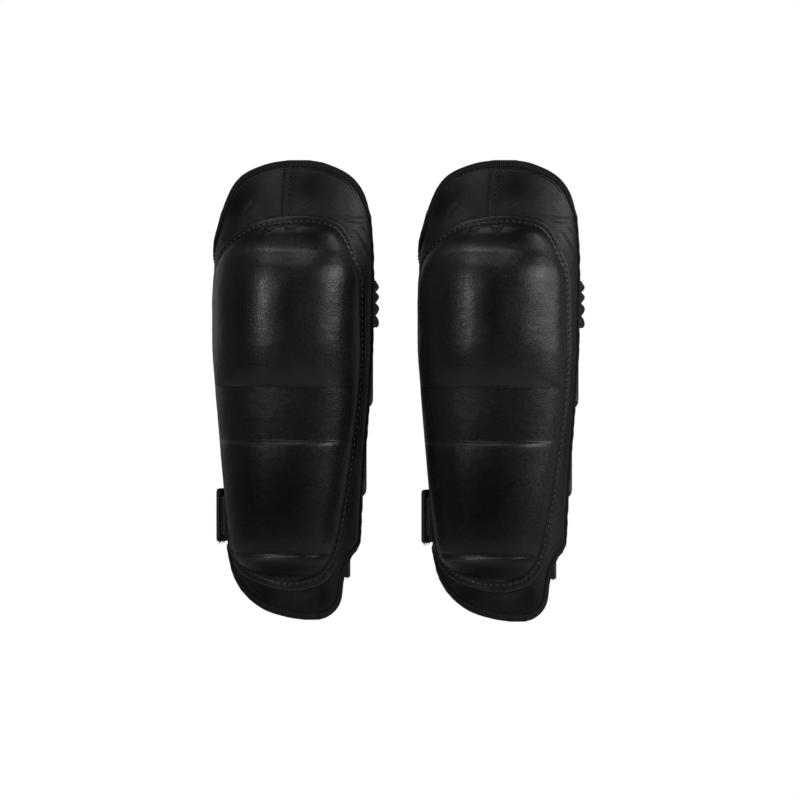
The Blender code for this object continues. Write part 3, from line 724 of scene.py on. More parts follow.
def dome_row(z, front, span, turns):
    """One row across the dome, an ellipse-like arch between its two feet."""
    feet = backing_points(span, z, SHELL_FOOT)
    power = 2.0 / DOME_SQUARENESS
    across = np.sign(turns) * np.abs(np.sin(turns)) ** power
    part = ((across + 1) / 2)[:, None]
    chord = feet[0] * (1 - part) + feet[1] * part
    rise = np.abs(np.cos(turns)) ** power
    base_spots = np.interp(chord[:, 0], [feet[0][0], feet[1][0]], span)
    base = backing_points(base_spots, z, SHELL_FOOT)[:, 1]
    y = np.minimum(chord[:, 1] - (front + chord[:, 1]) * rise, base)
    return np.column_stack([chord[:, 0], y, chord[:, 2]])


def grid_normals(grid):
    normal = np.cross(np.gradient(grid, axis=1), np.gradient(grid, axis=0))
    return normal / np.maximum(np.linalg.norm(normal, axis=2), 1e-12)[:, :, None]


def crescent_marks(grid):
    """How deep each point lies in one of the two small crescent notches."""
    depth = np.zeros(grid.shape[:2])
    lip = np.zeros(grid.shape[:2])
    for x, z in CRESCENTS:
        a = (grid[..., 0] - x) / CRESCENT_HALF[0]
        b = (grid[..., 2] - z) / CRESCENT_HALF[1]
        lower = -np.sqrt(np.clip(1 - a * a, 0, 1))
        inside = np.clip(1 - np.abs(a), 0, 1) ** 0.3
        depth = np.maximum(depth, inside * bell(b - lower - 0.10, 0.34))
        lip = np.maximum(lip, inside * bell(b - lower + 0.75, 0.35))
    return depth, lip


def dome_grid():
    """The moulded part of the shell, with its creases and notches."""
    loop = outline_loop(SHELL_OUTLINE, 200, 0.002)
    heights = dome_heights()
    spans = shell_spans(heights, loop)
    heights, spans = zip(*[(z, s) for z, s in zip(heights, spans) if s])
    fronts = smooth_profile(SHELL_PROFILE, np.array(heights))
    turns = np.linspace(-math.pi / 2, math.pi / 2, 201)
    grid = np.array([dome_row(z, front, span, turns) for z, front, span in zip(heights, fronts, spans)])
    normals = grid_normals(grid)
    shift = 0.00035 * lumps(grid, 45) + 0.00012 * lumps(grid, 160, 3.0)
    notch, lip = crescent_marks(grid)
    shift = shift - 0.0012 * notch + 0.0005 * lip
    # Painted shade in the notches, along the grooves and round the dome's foot.
    crease_shade = np.clip(1.3 * notch, 0, 1)
    across = np.cos(turns)[None, :] ** 0.5
    z = grid[..., 2]
    for height, width, depth in GROOVE_SHADES:
        crease_shade = np.maximum(crease_shade, depth * bell(z - height, width) * across)
    # Painted highlight on the shin plate's upper ledge, just below the middle groove.
    edge_highlight = np.zeros_like(crease_shade)
    edge_highlight = np.maximum(edge_highlight, 0.8 * bell(z - GROOVES[1] + 0.0033, 0.0018) * across)
    foot = 1 - np.clip(np.cos(turns) / 0.18, 0, 1)
    crease_shade = np.maximum(crease_shade, 0.35 * foot[None, :] ** 2)
    return grid + normals * shift[..., None], crease_shade, edge_highlight, normals


# Across the flange: distance in from the shell's edge, and how far it drops towards the backing
FLANGE_FLAT = (0.0066, 0.0060, 0.0056, 0.0052, 0.0048, 0.0044, 0.0040, 0.0035, 0.0028, 0.0020, 0.0012)
FLANGE_SECTION = [
    (0.0083, 0.0010), *((reach, 0.0) for reach in FLANGE_FLAT), (0.0006, 0.0001), (0.0002, 0.0004),
    (0.0, 0.0008), (0.0, 0.0016), (0.0002, 0.0020), (0.0055, 0.0022),
]


def shell_edge():
    return outline_loop(SHELL_OUTLINE, 260, 0.0012)


def flange_strip():
    """The flat stitched edge of the shell: a hoop of sections from inside the dome's foot to the edge."""
    loop = shell_edge()
    inward = loop_inward(loop)
    run = np.arange(len(loop)) / len(loop)
    phase = np.cos(2 * math.pi * run * stitch_total(loop))
    wider = flange_width(loop[:, 1]) / FLANGE_WIDTH
    rings, crease_shade, edge_highlight = [], [], []
    for reach, drop in FLANGE_SECTION:
        spots = loop + inward * (reach * wider)[:, None]
        channel = bell(reach - STITCH_INSET, 0.0008)
        swell = 0.00018 * bell(reach - 0.0018, 0.0015) * noise_line(run, 60, 1.3)
        sink = 0.00030 * channel + 0.00022 * channel * phase
        out = SHELL_FOOT - drop - sink + swell
        rings.append(lifted(spots, out))
        # Painted shade in the stitch channel and under the dome's foot.
        crease_shade.append(np.full(len(loop), 0.35 * channel + (0.5 if reach > FLANGE_WIDTH else 0.0)))
        # Painted highlight along the flange's cut edge.
        edge_highlight.append(np.full(len(loop), bell(reach - 0.0003, 0.0008)))
    return (np.array(rings).transpose(1, 0, 2), np.array(crease_shade).T, np.array(edge_highlight).T)


def stitch_total(loop):
    size = np.linalg.norm(np.roll(loop, -1, axis=0) - loop, axis=1).sum()
    return int(size / STITCH_PITCH)


def noise_line(run, scale, seed):
    """Smooth noise round a closed loop, for shares 0 to 1 of its length."""
    radius, turns = scale / (2 * math.pi), 2 * math.pi * run
    return np.array([noise.noise(Vector((radius * math.cos(t), radius * math.sin(t), seed))) for t in turns])


def build_shell(kit, side):
    grid, crease_shade, edge_highlight, normals = dome_grid()
    inner = grid - normals * COVER
    blank = np.zeros_like(crease_shade)
    # Patches of painted shade and painted highlight on the dome.
    painted_light = np.clip(soft_spots(grid[..., 0], grid[..., 2], DOME_PAINTED_LIGHT), -1, 1)
    dome = closed_grid(f"{side}_shell_dome", grid, inner, [kit["shell"]] * 3,
                       {"crease_shade": (crease_shade, blank), "edge_highlight": (edge_highlight, blank), "painted_light": (painted_light, blank)})
    rings, crease_shade, edge_highlight = flange_strip()
    flange = swept(f"{side}_shell_flange", rings, [kit["shell"]], {"crease_shade": crease_shade, "edge_highlight": edge_highlight})
    loop = shell_edge()
    insets = STITCH_INSET * flange_width(loop[:, 1]) / FLANGE_WIDTH
    spots = loop + loop_inward(loop) * insets[:, None]
    sewn = stitches(f"{side}_shell_stitches", lifted(spots, SHELL_FOOT - 0.0001), outward(spots),
                    kit["thread"])
    inside = ("shell_cover", "shell_core", "knee_foam", "shin_foam")
    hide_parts(*(f"{side}_{part}" for part in inside))
    return [dome, flange, sewn]


# ---------------------------------------------------------------- backing
BACKING_GRID = (260, 190)
SEAM_LINES = (0.0032, 0.0085)     # stitching beside the flap's middle seam
SEAM_HEIGHTS = (0.3800, 0.4240)
TOP_STITCH = 0.0064               # second line of stitching inside the flap's edge
PAD_CROWN = 0.0012                # how far the padding lifts the leather
LINING_CHANNELS = (0.110, 0.165, 0.220, 0.275, 0.330)
# Creases of the soft leather: two ends as (arc length, height), width and depth
CREASES = [
    ((0.060, 0.3750), (0.088, 0.3762), 0.0007, 0.60),
    ((0.062, 0.3712), (0.086, 0.3700), 0.0007, 0.45),
    ((0.068, 0.3640), (0.092, 0.3340), 0.0016, 0.8),
    ((0.074, 0.3680), (0.098, 0.3480), 0.0014, 0.6),
    ((0.014, 0.3810), (0.036, 0.3900), 0.0006, 0.55),
    ((0.012, 0.3785), (0.034, 0.3850), 0.0006, 0.55),
    ((0.014, 0.3835), (0.028, 0.3915), 0.0006, 0.45),
    ((0.012, 0.3765), (0.040, 0.3805), 0.0006, 0.50),
    ((-0.040, 0.3790), (-0.024, 0.3960), 0.0018, 0.35),
    ((0.020, 0.0150), (0.034, 0.0260), 0.0020, 0.4),
    ((-0.034, 0.0270), (-0.014, 0.0150), 0.0022, 0.5),
]
# Painted shade (above 0) and painted highlights (below 0) on the soft leather, which also make its hide
# duller or glossier: along, height, half sizes and amount
BACKING_PAINTED_LIGHT = [
    (-0.028, 0.4030, 0.012, 0.0090, 0.50),
    (-0.040, 0.3940, 0.013, 0.0110, 0.60),
    (-0.049, 0.3830, 0.012, 0.0130, 0.55),
    (-0.064, 0.3770, 0.006, 0.0120, -0.60),
    (-0.012, 0.4150, 0.010, 0.0080, -0.15),
    (-0.012, 0.3900, 0.012, 0.0140, 0.25),
    (0.023, 0.4060, 0.016, 0.0150, 0.75),
    (0.050, 0.3980, 0.012, 0.0120, -0.10),
    (0.078, 0.3900, 0.010, 0.0160, -0.65),
    (0.076, 0.3580, 0.012, 0.0140, -0.55),
    (0.000, 0.0000, 0.200, 0.0550, 0.55),
    (-0.014, 0.0260, 0.012, 0.0080, 0.45),
    (0.040, 0.0240, 0.008, 0.0120, 0.45),
    (0.017, 0.0230, 0.008, 0.0090, -0.35),
    (0.085, 0.2000, 0.030, 0.1100, 0.45),
    (-0.085, 0.2000, 0.030, 0.1100, 0.30),
]


def backing_folds(along, height):
    """How far the soft leather stands out at each spot for seams, puckers and creases, and the painted shade
    in their hollows.
    """
    spots = np.stack([along, np.zeros_like(along), height], axis=-1)
    rise = 0.0007 * lumps(spots, 26, 7.0) + 0.00035 * lumps(spots, 70, 2.0)
    flap = np.clip((height - 0.355) / 0.02, 0, 1)
    seam = bell(along, 0.0010) * flap
    lap = np.clip(along / 0.0012, 0, 1) * np.clip(1 - along / 0.012, 0, 1)
    wobble = lumps(spots, 90, 5.0)
    zigzag = 0.0016 * np.sin(2 * math.pi * along / 0.0052)
    pucker = np.sin(2 * math.pi * (height + 0.0016 * wobble + zigzag) / 0.0040)
    pucker = pucker * bell(along - 0.0080, 0.0062) * flap
    rise += -0.0006 * seam + 0.0005 * lap * flap + 0.00095 * pucker * (0.8 + 0.6 * wobble)
    # Painted shade in the middle seam and in the puckers' hollows.
    crease_shade = 0.9 * seam + 0.9 * np.clip(-pucker, 0, 1)
    for start, end, width, depth in CREASES:
        offset, share = line_offset(along, height, start, end)
        depth_here = depth * np.clip(1 - np.abs(2 * share - 1), 0, 1) ** 0.5
        ridge = 0.0008 * bell(offset - 2.2 * width, 1.6 * width)
        rise += depth_here * (ridge - 0.0011 * bell(offset, width))
        crease_shade = np.maximum(crease_shade, 0.6 * depth_here * bell(offset, 0.6 * width))
    return rise, crease_shade


def line_offset(along, height, start, end):
    """Signed distance to a line and the share of the way along it."""
    start, end = np.array(start), np.array(end)
    run = end - start
    size = np.linalg.norm(run)
    dx, dz = along - start[0], height - start[1]
    share = (dx * run[0] + dz * run[1]) / size ** 2
    away = np.clip(np.maximum(-share, share - 1), 0, None) * size
    offset = (run[0] * dz - run[1] * dx) / size
    return np.sign(offset) * np.hypot(offset, away), np.clip(share, 0, 1)


def build_backing(kit, side):
    rows = outline_rows(BACKING_OUTLINE, BACKING_GRID[0])
    spots = np.array([np.linspace(left, right, BACKING_GRID[1]) for _, left, right in rows])
    heights = np.repeat(rows[:, :1], BACKING_GRID[1], axis=1)
    rise, crease_shade = backing_folds(spots, heights)
    edge = outline_loop(BACKING_OUTLINE, 200, 0.003)
    edge_gap = np.array([loop_distance(line, z, edge)[0] for line, z in zip(spots, rows[:, 0])])
    calm = np.clip((edge_gap - 0.003) / 0.006, 0, 1)
    rise *= calm
    crown = PAD_CROWN * np.clip(edge_gap / 0.012, 0, 1) ** 0.5
    top_stitch = bell(edge_gap - TOP_STITCH, 0.0006) * np.clip((heights - 0.335) / 0.01, 0, 1)
    rise -= 0.0004 * top_stitch
    # Painted shade along the top stitching.
    crease_shade = np.maximum(crease_shade, 0.55 * top_stitch)
    # Patches of painted shade and painted highlight on the soft leather.
    painted_light = np.clip(soft_spots(spots, heights, BACKING_PAINTED_LIGHT), -1, 1)
    under_shell = shell_cover_mask(spots, heights)
    outer_out = np.where(under_shell, np.minimum(rise + crown, 0.0006), rise + crown)
    outer = np.array([backing_points(s, z, o) for s, z, o in zip(spots, rows[:, 0], outer_out)])
    quilt, quilt_shade = lining_channels(spots, heights)
    inner_out = -BACKING_DEPTH - 0.0010 * calm * (1 - quilt) + 0.0012 * quilt * calm
    inner = np.array([backing_points(s, z, o) for s, z, o in zip(spots, rows[:, 0], inner_out)])
    pad = closed_grid(f"{side}_backing_pad", outer, inner, [kit["leather"], kit["lining"], kit["tape"]],
                      {"crease_shade": (crease_shade * calm, quilt_shade), "edge_highlight": (np.zeros_like(crease_shade),) * 2,
                       "painted_light": (painted_light, np.zeros_like(painted_light)),
                       "cloth": (np.stack([heights, spots, 0 * spots], -1),) * 2})
    inside = ("backing_panel", "backing_foam", "lining", "seam_strip")
    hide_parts(*(f"{side}_{part}" for part in inside))
    return [pad, *seam_stitches(kit, side)]


def shell_cover_mask(spots, heights):
    """True where the shell lies over the backing."""
    rows = outline_rows(SHELL_OUTLINE, 300)
    left = np.interp(heights, rows[:, 0], rows[:, 1])
    right = np.interp(heights, rows[:, 0], rows[:, 2])
    inside = (spots > left + 0.001) & (spots < right - 0.001)
    return inside & (heights > rows[0, 0] + 0.001) & (heights < rows[-1, 0] - 0.001)


def lining_channels(spots, heights):
    """Sewn channels across the lining, as depth and the painted shade in them."""
    depth = np.zeros_like(spots)
    for z in LINING_CHANNELS:
        depth = np.maximum(depth, bell(heights - z, 0.0030))
    return depth, 0.8 * bell(1 - depth, 0.25)


def seam_stitches(kit, side):
    made = []
    for k, along in enumerate(SEAM_LINES):
        spots = [(along, z) for z in np.linspace(*SEAM_HEIGHTS, 60)]
        made.append(stitches(f"{side}_seam_stitches_{k + 1}", lifted(spots, 0.0013), outward(spots),
                             kit["dull"], pitch=0.0040, length=0.0026, radius=0.00030, closed=False))
    return made


# The tape's section: distance in from the backing's edge, and how far out it stands
BINDING_SECTION = [
    (0.0038, 0.0004), (0.0037, 0.0013), (0.0032, 0.0019), (0.0022, 0.0021), (0.0006, 0.0021),
    (-0.0010, 0.0016), (-0.0021, 0.0002), (-0.0024, -0.0020), (-0.0024, -0.0078), (-0.0021, -0.0100),
    (-0.0010, -0.0114), (0.0008, -0.0120), (0.0028, -0.0120), (0.0044, -0.0118), (0.0052, -0.0112),
    (0.0053, -0.0102),
]


def build_binding(kit, side):
    step = 0.0013
    loop = outline_loop(BACKING_OUTLINE, 260, step)
    inward = loop_inward(loop)
    run = np.arange(len(loop)) / len(loop)
    ripple = 1 + 0.10 * noise_line(run, 150, 0.7)
    length = step * len(loop)
    profile = spline_rows(BINDING_SECTION, 34)
    rings = []
    for reach, out in profile:
        spots = loop + inward * reach
        middle = -BACKING_DEPTH / 2
        outs = middle + (out - middle) * ripple
        rings.append(lifted(spots, outs))
    rings = np.array(rings).transpose(1, 0, 2)
    cloth = np.zeros((*rings.shape[:2], 3))
    cloth[..., 0] = (run * length)[:, None]
    cloth[..., 1] = run_lengths(profile)[None, :]
    band = swept(f"{side}_edge_tape", rings, [kit["tape"]], {"cloth": cloth})
    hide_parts(f"{side}_edge_binding")
    made = [band]
    for word, out, way, inset in (("front", 0.0020, 1, 0.0028), ("back", -0.0120, -1, 0.0038)):
        spots = loop + inward * inset
        made.append(stitches(f"{side}_binding_stitches_{word}", lifted(spots, out), outward(spots, way),
                             kit["dull"], pitch=0.0042, length=0.0028, radius=0.00032))
    return made


# ---------------------------------------------------------------- straps
def fold(centre, start, end, radius, count=15):
    turns = np.radians(np.linspace(start, end, count))
    return [(centre[0] + radius * math.cos(t), centre[1] + radius * math.sin(t)) for t in turns]


def rear_arc(right, left, bulge, count=61):
    """An arch behind the leg, from the right end to the left end."""
    points = []
    for turn in np.linspace(0, math.pi, count):
        part = (1 - math.cos(turn)) / 2
        points.append((right[0] * (1 - part) + left[0] * part,
                       right[1] * (1 - part) + left[1] * part + bulge * math.sin(turn)))
    return points


def ribbon(name, path, heights, width, thickness, looks, wave=0.0):
    """A flat band on edge with rounded edges, along a path seen from above."""
    line = resample(np.column_stack([path, heights]), 0.0012)
    forward = unit(np.gradient(line[:, :2], axis=0))
    outward = np.column_stack([forward[:, 1], -forward[:, 0]])
    across = np.sin(np.linspace(-1, 1, 29) * math.pi / 2)
    run = run_lengths(line)
    edge = np.sqrt(np.clip(1 - np.abs(across) ** 14, 0.12, 1))
    grids = []
    for way in (1, -1):
        rows = []
        for k, (x, y, z) in enumerate(line):
            ripple = wave * math.sin(2 * math.pi * run[k] / RIPPLE_PITCH)
            off = way * edge * (thickness / 2 + way * ripple * 0.5)
            rows.append(np.column_stack([x + outward[k, 0] * off, y + outward[k, 1] * off,
                                         z + across * (width / 2 + 0.4 * ripple)]))
        grids.append(np.array(rows))
    cloth = np.zeros((*grids[0].shape[:2], 3))
    cloth[..., 0] = run[:, None]
    cloth[..., 1] = across[None, :] * width / 2
    outer, inner = grids
    return closed_grid(name, outer, inner, looks, {"cloth": (cloth, cloth)})


def slab(name, low, high, looks, corner=0.004):
    """A rounded flat tab standing in the Y-Z plane, its outside towards -X."""
    low, high = np.array(low), np.array(high)
    centre, half = (low + high) / 2, (high - low) / 2
    steps = np.sin(np.linspace(-1, 1, 41) * math.pi / 2)
    y, z = np.meshgrid(steps * half[1], steps * half[2])
    core_y, core_z = (np.clip(v, -h + corner, h - corner) for v, h in ((y, half[1]), (z, half[2])))
    dy, dz = y - core_y, z - core_z
    size = np.maximum(np.hypot(dy, dz), 1e-9)
    limit = np.minimum(size, corner) / size
    y, z = core_y + dy * limit, core_z + dz * limit
    edge = np.minimum(half[1] - np.abs(y), half[2] - np.abs(z))
    edge = np.minimum(edge, corner - np.hypot(y - core_y, z - core_z))
    round_off = 1 - 0.75 * (1 - np.clip(edge / 0.0008, 0, 1)) ** 2
    faces = []
    for way in (-1, 1):
        x = centre[0] + way * half[0] * round_off
        faces.append(np.stack([x, centre[1] + y, centre[2] + z], axis=-1))
    cloth = np.stack([z, y, np.zeros_like(y)], axis=-1)
    return closed_grid(name, faces[0][:, ::-1], faces[1][:, ::-1], looks, {"cloth": (cloth[:, ::-1],) * 2})


def stitched_box(name, look, x, y_range, z_range):
    """Box stitching with a cross, on a face that looks towards -X."""
    (y0, y1), (z0, z1) = y_range, z_range
    corners = [(y0, z0), (y1, z0), (y1, z1), (y0, z1), (y0, z0), (y1, z1), (y1, z0), (y0, z1)]
    path = resample(np.array([(x, y, z) for y, z in corners]), 0.0004)
    return stitches(name, path, np.tile((-1.0, 0.0, 0.0), (len(path), 1)), look,
                    pitch=0.0028, length=0.0021, radius=0.00028, closed=False)


def ring_hoop(name, front, rear, height, look):
    """A round rod bent to a rounded rectangle that stands behind the backing's edge."""
    front, rear = np.array(front), np.array(rear)
    wide = np.linalg.norm(rear - front)
    across = (rear - front) / wide
    corner, tall = 0.0034, RING_HEIGHT
    path = []
    for cx, cz, start in ((wide - corner, tall / 2 - corner, 0), (corner, tall / 2 - corner, 90),
                          (corner, corner - tall / 2, 180), (wide - corner, corner - tall / 2, 270)):
        for turn in np.radians(np.linspace(start, start + 90, 9)):
            path.append((cx + corner * math.cos(turn), cz + corner * math.sin(turn)))
    path = resample(np.array(path + path[:1]), 0.0012)[:-1]
    run = unit(np.roll(path, -1, axis=0) - np.roll(path, 1, axis=0))
    rings = []
    for (a, z), (ta, tz) in zip(path, run):
        centre = np.array([*(front + across * a), height + z])
        sideways = np.array([*(across * tz), -ta])
        depth = np.array([-across[1], across[0], 0.0])
        rings.append([centre + ROD_RADIUS * (sideways * math.cos(t) + depth * math.sin(t))
                      for t in np.linspace(0, 2 * math.pi, 16, endpoint=False)])
    return swept(name, np.array(rings), [look])


def build_ring_strap(kit, side, name, left_z, right_z):
    """Keeper, ring, elastic, hook tab and loop patch of a strap that folds round a ring."""
    edge = half_width(right_z)
    front = (edge - FRONT_ROD_INSET, SIDE_Y + FRONT_ROD)
    rear = (edge - REAR_ROD_INSET, SIDE_Y + REAR_ROD)
    middle = FOLD_RADIUS + STRAP_THICK / 2
    keeper_path = [(front[0] + middle, SIDE_Y + SEWN_START), *fold(front, 0, 180, middle),
                   (front[0] - middle, SIDE_Y + SEWN_START)]
    keeper = ribbon(f"{side}_{name}_keeper_loop", keeper_path, [right_z] * len(keeper_path), STRAP_WIDTH,
                    STRAP_THICK, [kit["webbing"]] * 3)
    hoop = ring_hoop(f"{side}_{name}_ring_hoop", front, rear, right_z, kit["ring"])

    closure = side_closure if name == "lower" else tongue_closure
    left, closed = closure(kit, side, name, left_z)
    turned = [(rear[0] - middle, rear[1] + FREE_END), *fold(rear, 180, 360, middle)]
    arc = rear_arc(turned[-1], left, RING_STRAP_BULGE)[1:]
    slope = np.linspace(right_z, left_z, len(arc) + 1)[1:]
    heights = [right_z] * len(turned) + list(slope)
    band = ribbon(f"{side}_{name}_elastic", turned + arc, heights, STRAP_WIDTH, STRAP_THICK,
                  [kit["elastic"]] * 3, wave=STRAP_RIPPLE)
    return [(keeper, "guard", "keeper"), (hoop, "ring", "ring"), (band, "strap", "strap"), *closed]


def side_closure(kit, side, name, height):
    """Hook tab and loop patch on the outside of the backing's left side, with the strap's end point."""
    side_x = half_width(height + TAB_HEIGHT / 2) + TAB_INNER
    low = (-side_x - TAB_THICK, TAB_FRONT_Y, height - TAB_HEIGHT / 2)
    high = (-side_x, SIDE_Y + TAB_BACK, height + TAB_HEIGHT / 2)
    end = (-side_x - TAB_THICK / 2, high[1] - SEWN_OVERLAP)
    return end, closure_pieces(kit, side, name, low, high)


def tongue_closure(kit, side, name, height):
    """Hook tab and loop patch behind the backing's left edge, with the strap's end point."""
    outer_x = half_width(height) + TONGUE_PROUD
    inner_x = outer_x - BEHIND_THICK
    low = (-outer_x, SIDE_Y + BEHIND_TAB, height - STRAP_WIDTH / 2)
    high = (-inner_x, low[1] + BEHIND_LENGTH, height + STRAP_WIDTH / 2)
    end = (-(outer_x + inner_x) / 2, high[1] - SEWN_OVERLAP)
    return end, closure_pieces(kit, side, name, low, high)


def closure_pieces(kit, side, name, low, high):
    """A sewn hook tab between two corners, its box stitching and the loop patch under it."""
    tab = slab(f"{side}_{name}_tab", low, high, [kit["webbing"], kit["hooks"], kit["elastic"]])
    inset = 0.004
    sewn = stitched_box(f"{side}_{name}_tab_stitches", kit["dull"], low[0] - 0.0001,
                        (low[1] + inset, high[1] - 0.003), (low[2] + inset, high[2] - inset))
    cut_x, cut_z = low[0] + 0.0012, low[2] + 0.0006
    frayed = loose_threads(f"{side}_{name}_tab_fray", (cut_x, low[1] + 0.003, cut_z),
                           (cut_x, high[1] - inset, cut_z), TAB_THREADS, kit["dull"])
    patch = dressed_patch(kit, side, f"{name}_loop_patch")
    return [(tab, "hook_tab", "hook_tab"), (sewn, "hook_tab", None), (frayed, "hook_tab", None),
            (patch, "guard", "loop_patch")]


def loose_threads(name, start, end, count, look, longest=0.0045):
    """Short bent fibres that hang from a cut edge between two points."""
    start, end = np.array(start), np.array(end)
    sides, rings, radius = 3, 5, 0.00016
    parts = np.linspace(0, 1, rings)
    points, faces = [], []
    for k in range(count):
        share = (k + 0.5) / count
        draw = [noise.noise(Vector((7.3 * k, 1.7 * j, start[2] * 90))) for j in range(4)]
        root = start + (end - start) * (share + 0.6 * draw[0] / count)
        size = longest * (0.55 + 0.7 * draw[1])
        bend = np.array([0.5 * draw[2], draw[3], 0.0]) * size
        middle = root + np.outer(parts, (0, 0, -size)) + np.outer(parts ** 2, bend)
        base = len(points)
        for turn in np.linspace(0, 2 * math.pi, sides, endpoint=False):
            points.extend(middle + np.outer(radius * (1 - 0.7 * parts), (math.cos(turn), math.sin(turn), 0)))
        faces.extend(tube_faces(base, sides, rings))
    return make_piece(name, points, faces, [look])


def dressed_patch(kit, side, node):
    """A loop patch with rounded corners in the place of its CAD block."""
    low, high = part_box(f"{side}_{node}")
    x = leg_axis_x(side)
    low, high = (np.array(corner) - (x, 0, 0) for corner in (low, high))
    return slab(f"{side}_{node}_pile", low, high, [kit["pile"], kit["pile"], kit["webbing"]], corner=0.0025)


def build_sleeve(kit, side):
    """The gathered end of the upper strap: soft leather ruffled into scallops."""
    edge = half_width(UPPER_RIGHT_Z)
    start_y = SIDE_Y + SEWN_START
    heights = np.linspace(-SLEEVE_HEIGHT / 2, SLEEVE_HEIGHT / 2, 121)
    depths = np.linspace(0, SLEEVE_LENGTH, 41)
    y, z = np.meshgrid(depths, heights)
    points = np.stack([0 * y, y, z], axis=-1)
    uneven = 0.0022 * lumps(0.4 * points, 210, 9.0)
    fold_wave = 0.5 - 0.5 * np.cos(2 * math.pi * ((z + uneven) / SLEEVE_HEIGHT + 0.5) * SLEEVE_FOLDS)
    ruffle = 0.0005 * lumps(points, 210, 4.0)
    pinch = 1 - 0.35 * bell(y, 0.003) - 0.35 * bell(y - SLEEVE_LENGTH, 0.003)
    grids = []
    for way, base in ((1, edge - SLEEVE_OUTER), (-1, edge - SLEEVE_INNER)):
        x = base + way * (SLEEVE_SWELL * fold_wave ** 0.45 * pinch + ruffle)
        grids.append(np.stack([x, start_y + y, UPPER_RIGHT_Z + z * (1 + 0.02 * fold_wave)], axis=-1))
    # Painted shade in the valleys between the folds.
    crease_shade = np.clip(1 - fold_wave * 3.0, 0, 1)
    blank = np.zeros_like(crease_shade)
    cloth = np.stack([y, z, blank], -1)
    return closed_grid(f"{side}_gathered_sleeve", grids[0], grids[1], [kit["leather"]] * 3,
                       {"crease_shade": (crease_shade, crease_shade), "edge_highlight": (blank, blank), "cloth": (cloth, cloth)})


def build_upper_strap(kit, side):
    edge = half_width(UPPER_RIGHT_Z)
    sleeve_end = SIDE_Y + SEWN_START + SLEEVE_LENGTH
    right = (edge - (SLEEVE_OUTER + SLEEVE_INNER) / 2, sleeve_end - SEWN_OVERLAP)
    left, closed = tongue_closure(kit, side, "upper", UPPER_LEFT_Z)
    path = rear_arc(right, left, UPPER_STRAP_BULGE)
    slope = np.linspace(UPPER_RIGHT_Z, UPPER_LEFT_Z, len(path))
    band = ribbon(f"{side}_upper_elastic", path, slope, STRAP_WIDTH, STRAP_THICK, [kit["elastic"]] * 3,
                  wave=STRAP_RIPPLE)
    return [(band, "strap", "strap"), (build_sleeve(kit, side), "guard", "sleeve"), *closed]


def build_tail(kit, side):
    """The short free end of webbing below the wing, with a few loose threads."""
    x = leg_axis_x(side)
    low, high = (np.array(c) - (x, 0, 0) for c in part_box(f"{side}_lower_tail"))
    tail = slab(f"{side}_tail_webbing", low, high, [kit["webbing"]] * 3, corner=0.0015)
    middle_y, cut_z = (low[1] + high[1]) / 2, low[2] + 0.0006
    frayed = loose_threads(f"{side}_tail_fray", (low[0] + 0.002, middle_y, cut_z),
                           (high[0] - 0.001, middle_y, cut_z), TAIL_THREADS, kit["dull"], 0.003)
    return tail, frayed


# ---------------------------------------------------------------- assembly
def leg_axis_x(side):
    low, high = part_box(f"{side}_backing_panel")
    return (low[0] + high[0]) / 2


def place(piece, side, body):
    piece.location.x = leg_axis_x(side)
    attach(piece, body)


def dress_guard(kit, side):
    rigid = f"{side}_guard"
    for piece in build_shell(kit, side):
        place(piece, side, rigid)
    for piece in build_backing(kit, side):
        place(piece, side, rigid)
    for piece in build_binding(kit, side):
        place(piece, side, rigid)
    straps = [(name, build_ring_strap(kit, side, name, *ends)) for name, *ends in RING_STRAPS]
    straps.append(("upper", build_upper_strap(kit, side)))
    for name, pieces in straps:
        for piece, body, node in pieces:
            place(piece, side, rigid if body == "guard" else f"{side}_{name}_{body}_body")
            if node:
                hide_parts(f"{side}_{name}_{node}")
    tail, frayed = build_tail(kit, side)
    for piece in (tail, frayed):
        place(piece, side, rigid)
    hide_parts(f"{side}_lower_tail")


def make_kit():
    """Each material once, by the name the builders use."""
    return {"shell": shell_leather(), "leather": soft_leather(), "tape": ribbed_tape(),
            "elastic": elastic_band(), "webbing": webbing(), "hooks": hook_face(), "pile": loop_pile(),
            "lining": lining_knit(), "thread": thread_look(), "dull": dull_thread(), "ring": ring_look()}


# ---------------------------------------------------------------- studio
CAMERA_AZIMUTH = 15.0
CAMERA_ELEVATION = 1.0
CAMERA_DISTANCE = 12.0
VIEW_WIDTH = 0.748           # width seen at the object
VIEW_CENTRE = (0.0063, 0.0017, 0.2057)
SURROUND = 0.12              # brightness of the even surround
LIGHTS_AIM = (0.0, 0.0, 0.24)
# Lights: name, azimuth, elevation, distance, size, watts and, where it isn't warm white, colour
LIGHTS = [
    ("left_strip", -25.0, 17.0, 1.6, (0.06, 0.80), 2.7),
    ("left_rim", -118.0, 10.0, 1.8, (1.2, 0.9), 0.9),
    ("right_box", 64.0, 22.0, 1.6, (0.90, 0.74), 7.2, (0.93, 0.95, 1.0)),
    ("side_fill", 97.0, 12.0, 1.8, (1.3, 0.9), 5.2),
    ("top_box", -24.0, 66.0, 1.5, (0.9, 0.6), 3.6),
]


def direction(azimuth, elevation):
    a, e = math.radians(azimuth), math.radians(elevation)
    return Vector((math.sin(a) * math.cos(e), -math.cos(a) * math.cos(e), math.sin(e)))


def set_up(name, data, aim, azimuth, elevation, distance):
    """A light or camera that looks at a point from a distance."""
    holder = bpy.data.objects.new(name, data)
    aim = Vector(aim)
    holder.location = aim + direction(azimuth, elevation) * distance
    holder.rotation_euler = (aim - holder.location).to_track_quat("-Z", "Y").to_euler()
    bpy.context.scene.collection.objects.link(holder)
    return holder


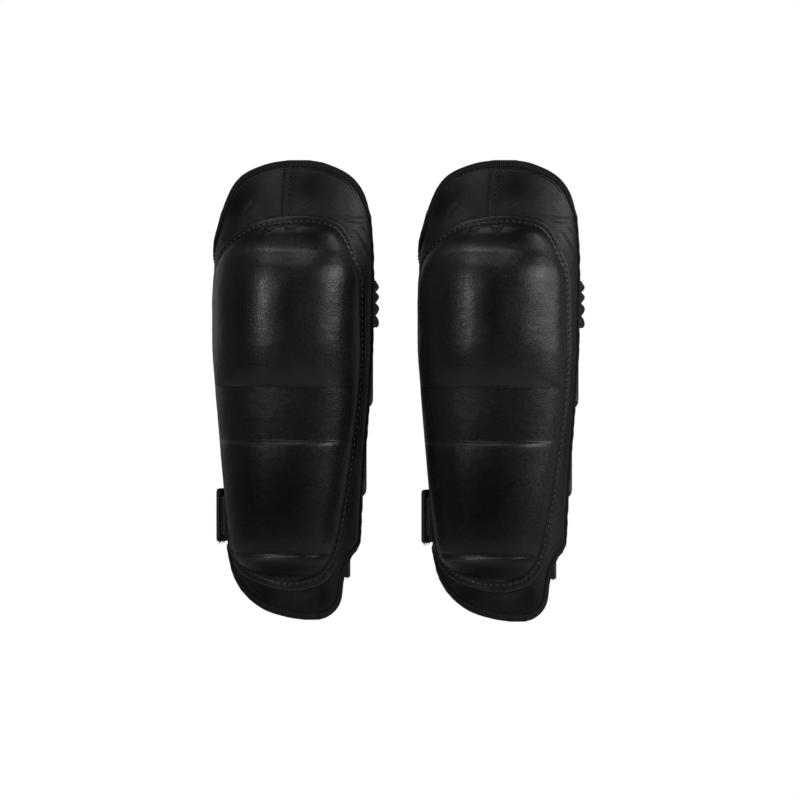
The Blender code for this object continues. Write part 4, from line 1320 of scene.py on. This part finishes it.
def softbox(name, azimuth, elevation, distance, size, power, colour=(1.0, 0.99, 0.95)):
    light = bpy.data.lights.new(name, "AREA")
    light.color = colour
    light.shape = "RECTANGLE"
    light.size, light.size_y = size
    light.energy = power
    set_up(name, light, LIGHTS_AIM, azimuth, elevation, distance)


def make_world():
    """White behind the object, and a dim even surround for everything the surfaces see."""
    world = bpy.data.worlds.new("studio")
    bpy.context.scene.world = world
    world.use_nodes = True
    nodes, links = world.node_tree.nodes, world.node_tree.links
    seen = nodes["Background"]
    seen.inputs["Color"].default_value = (1, 1, 1, 1)
    surround = nodes.new("ShaderNodeBackground")
    surround.inputs["Color"].default_value = (1.0, 0.99, 0.94, 1.0)
    surround.inputs["Strength"].default_value = SURROUND
    path = nodes.new("ShaderNodeLightPath")
    mix = nodes.new("ShaderNodeMixShader")
    links.new(path.outputs["Is Camera Ray"], mix.inputs["Fac"])
    links.new(surround.outputs[0], mix.inputs[1])
    links.new(seen.outputs[0], mix.inputs[2])
    links.new(mix.outputs[0], nodes["World Output"].inputs["Surface"])


def make_floor():
    look = Look("pale_floor", (0.80, 0.80, 0.80), 0.7)
    look.roughness(look.remap(look.noise(look.place(6)), 0.3, 0.7, 0.65, 0.75))
    bpy.ops.mesh.primitive_circle_add(vertices=96, radius=1.1, fill_type="NGON", location=(0, 0, -0.25))
    floor = bpy.context.object
    floor.name = "studio_floor"
    floor.data.materials.append(look.material)


def make_camera():
    camera = bpy.data.cameras.new("camera")
    camera.sensor_width = 36.0
    camera.lens = camera.sensor_width * CAMERA_DISTANCE / VIEW_WIDTH
    camera.clip_end = 50.0
    bpy.context.scene.camera = set_up("camera", camera, VIEW_CENTRE, CAMERA_AZIMUTH, CAMERA_ELEVATION,
                                      CAMERA_DISTANCE)


def make_studio():
    bpy.context.scene.view_settings.view_transform = "Standard"
    make_world()
    make_floor()
    make_camera()
    for settings in LIGHTS:
        softbox(*settings)


def main():
    kit = make_kit()
    for side in ("left", "right"):
        dress_guard(kit, side)
    make_studio()


main()
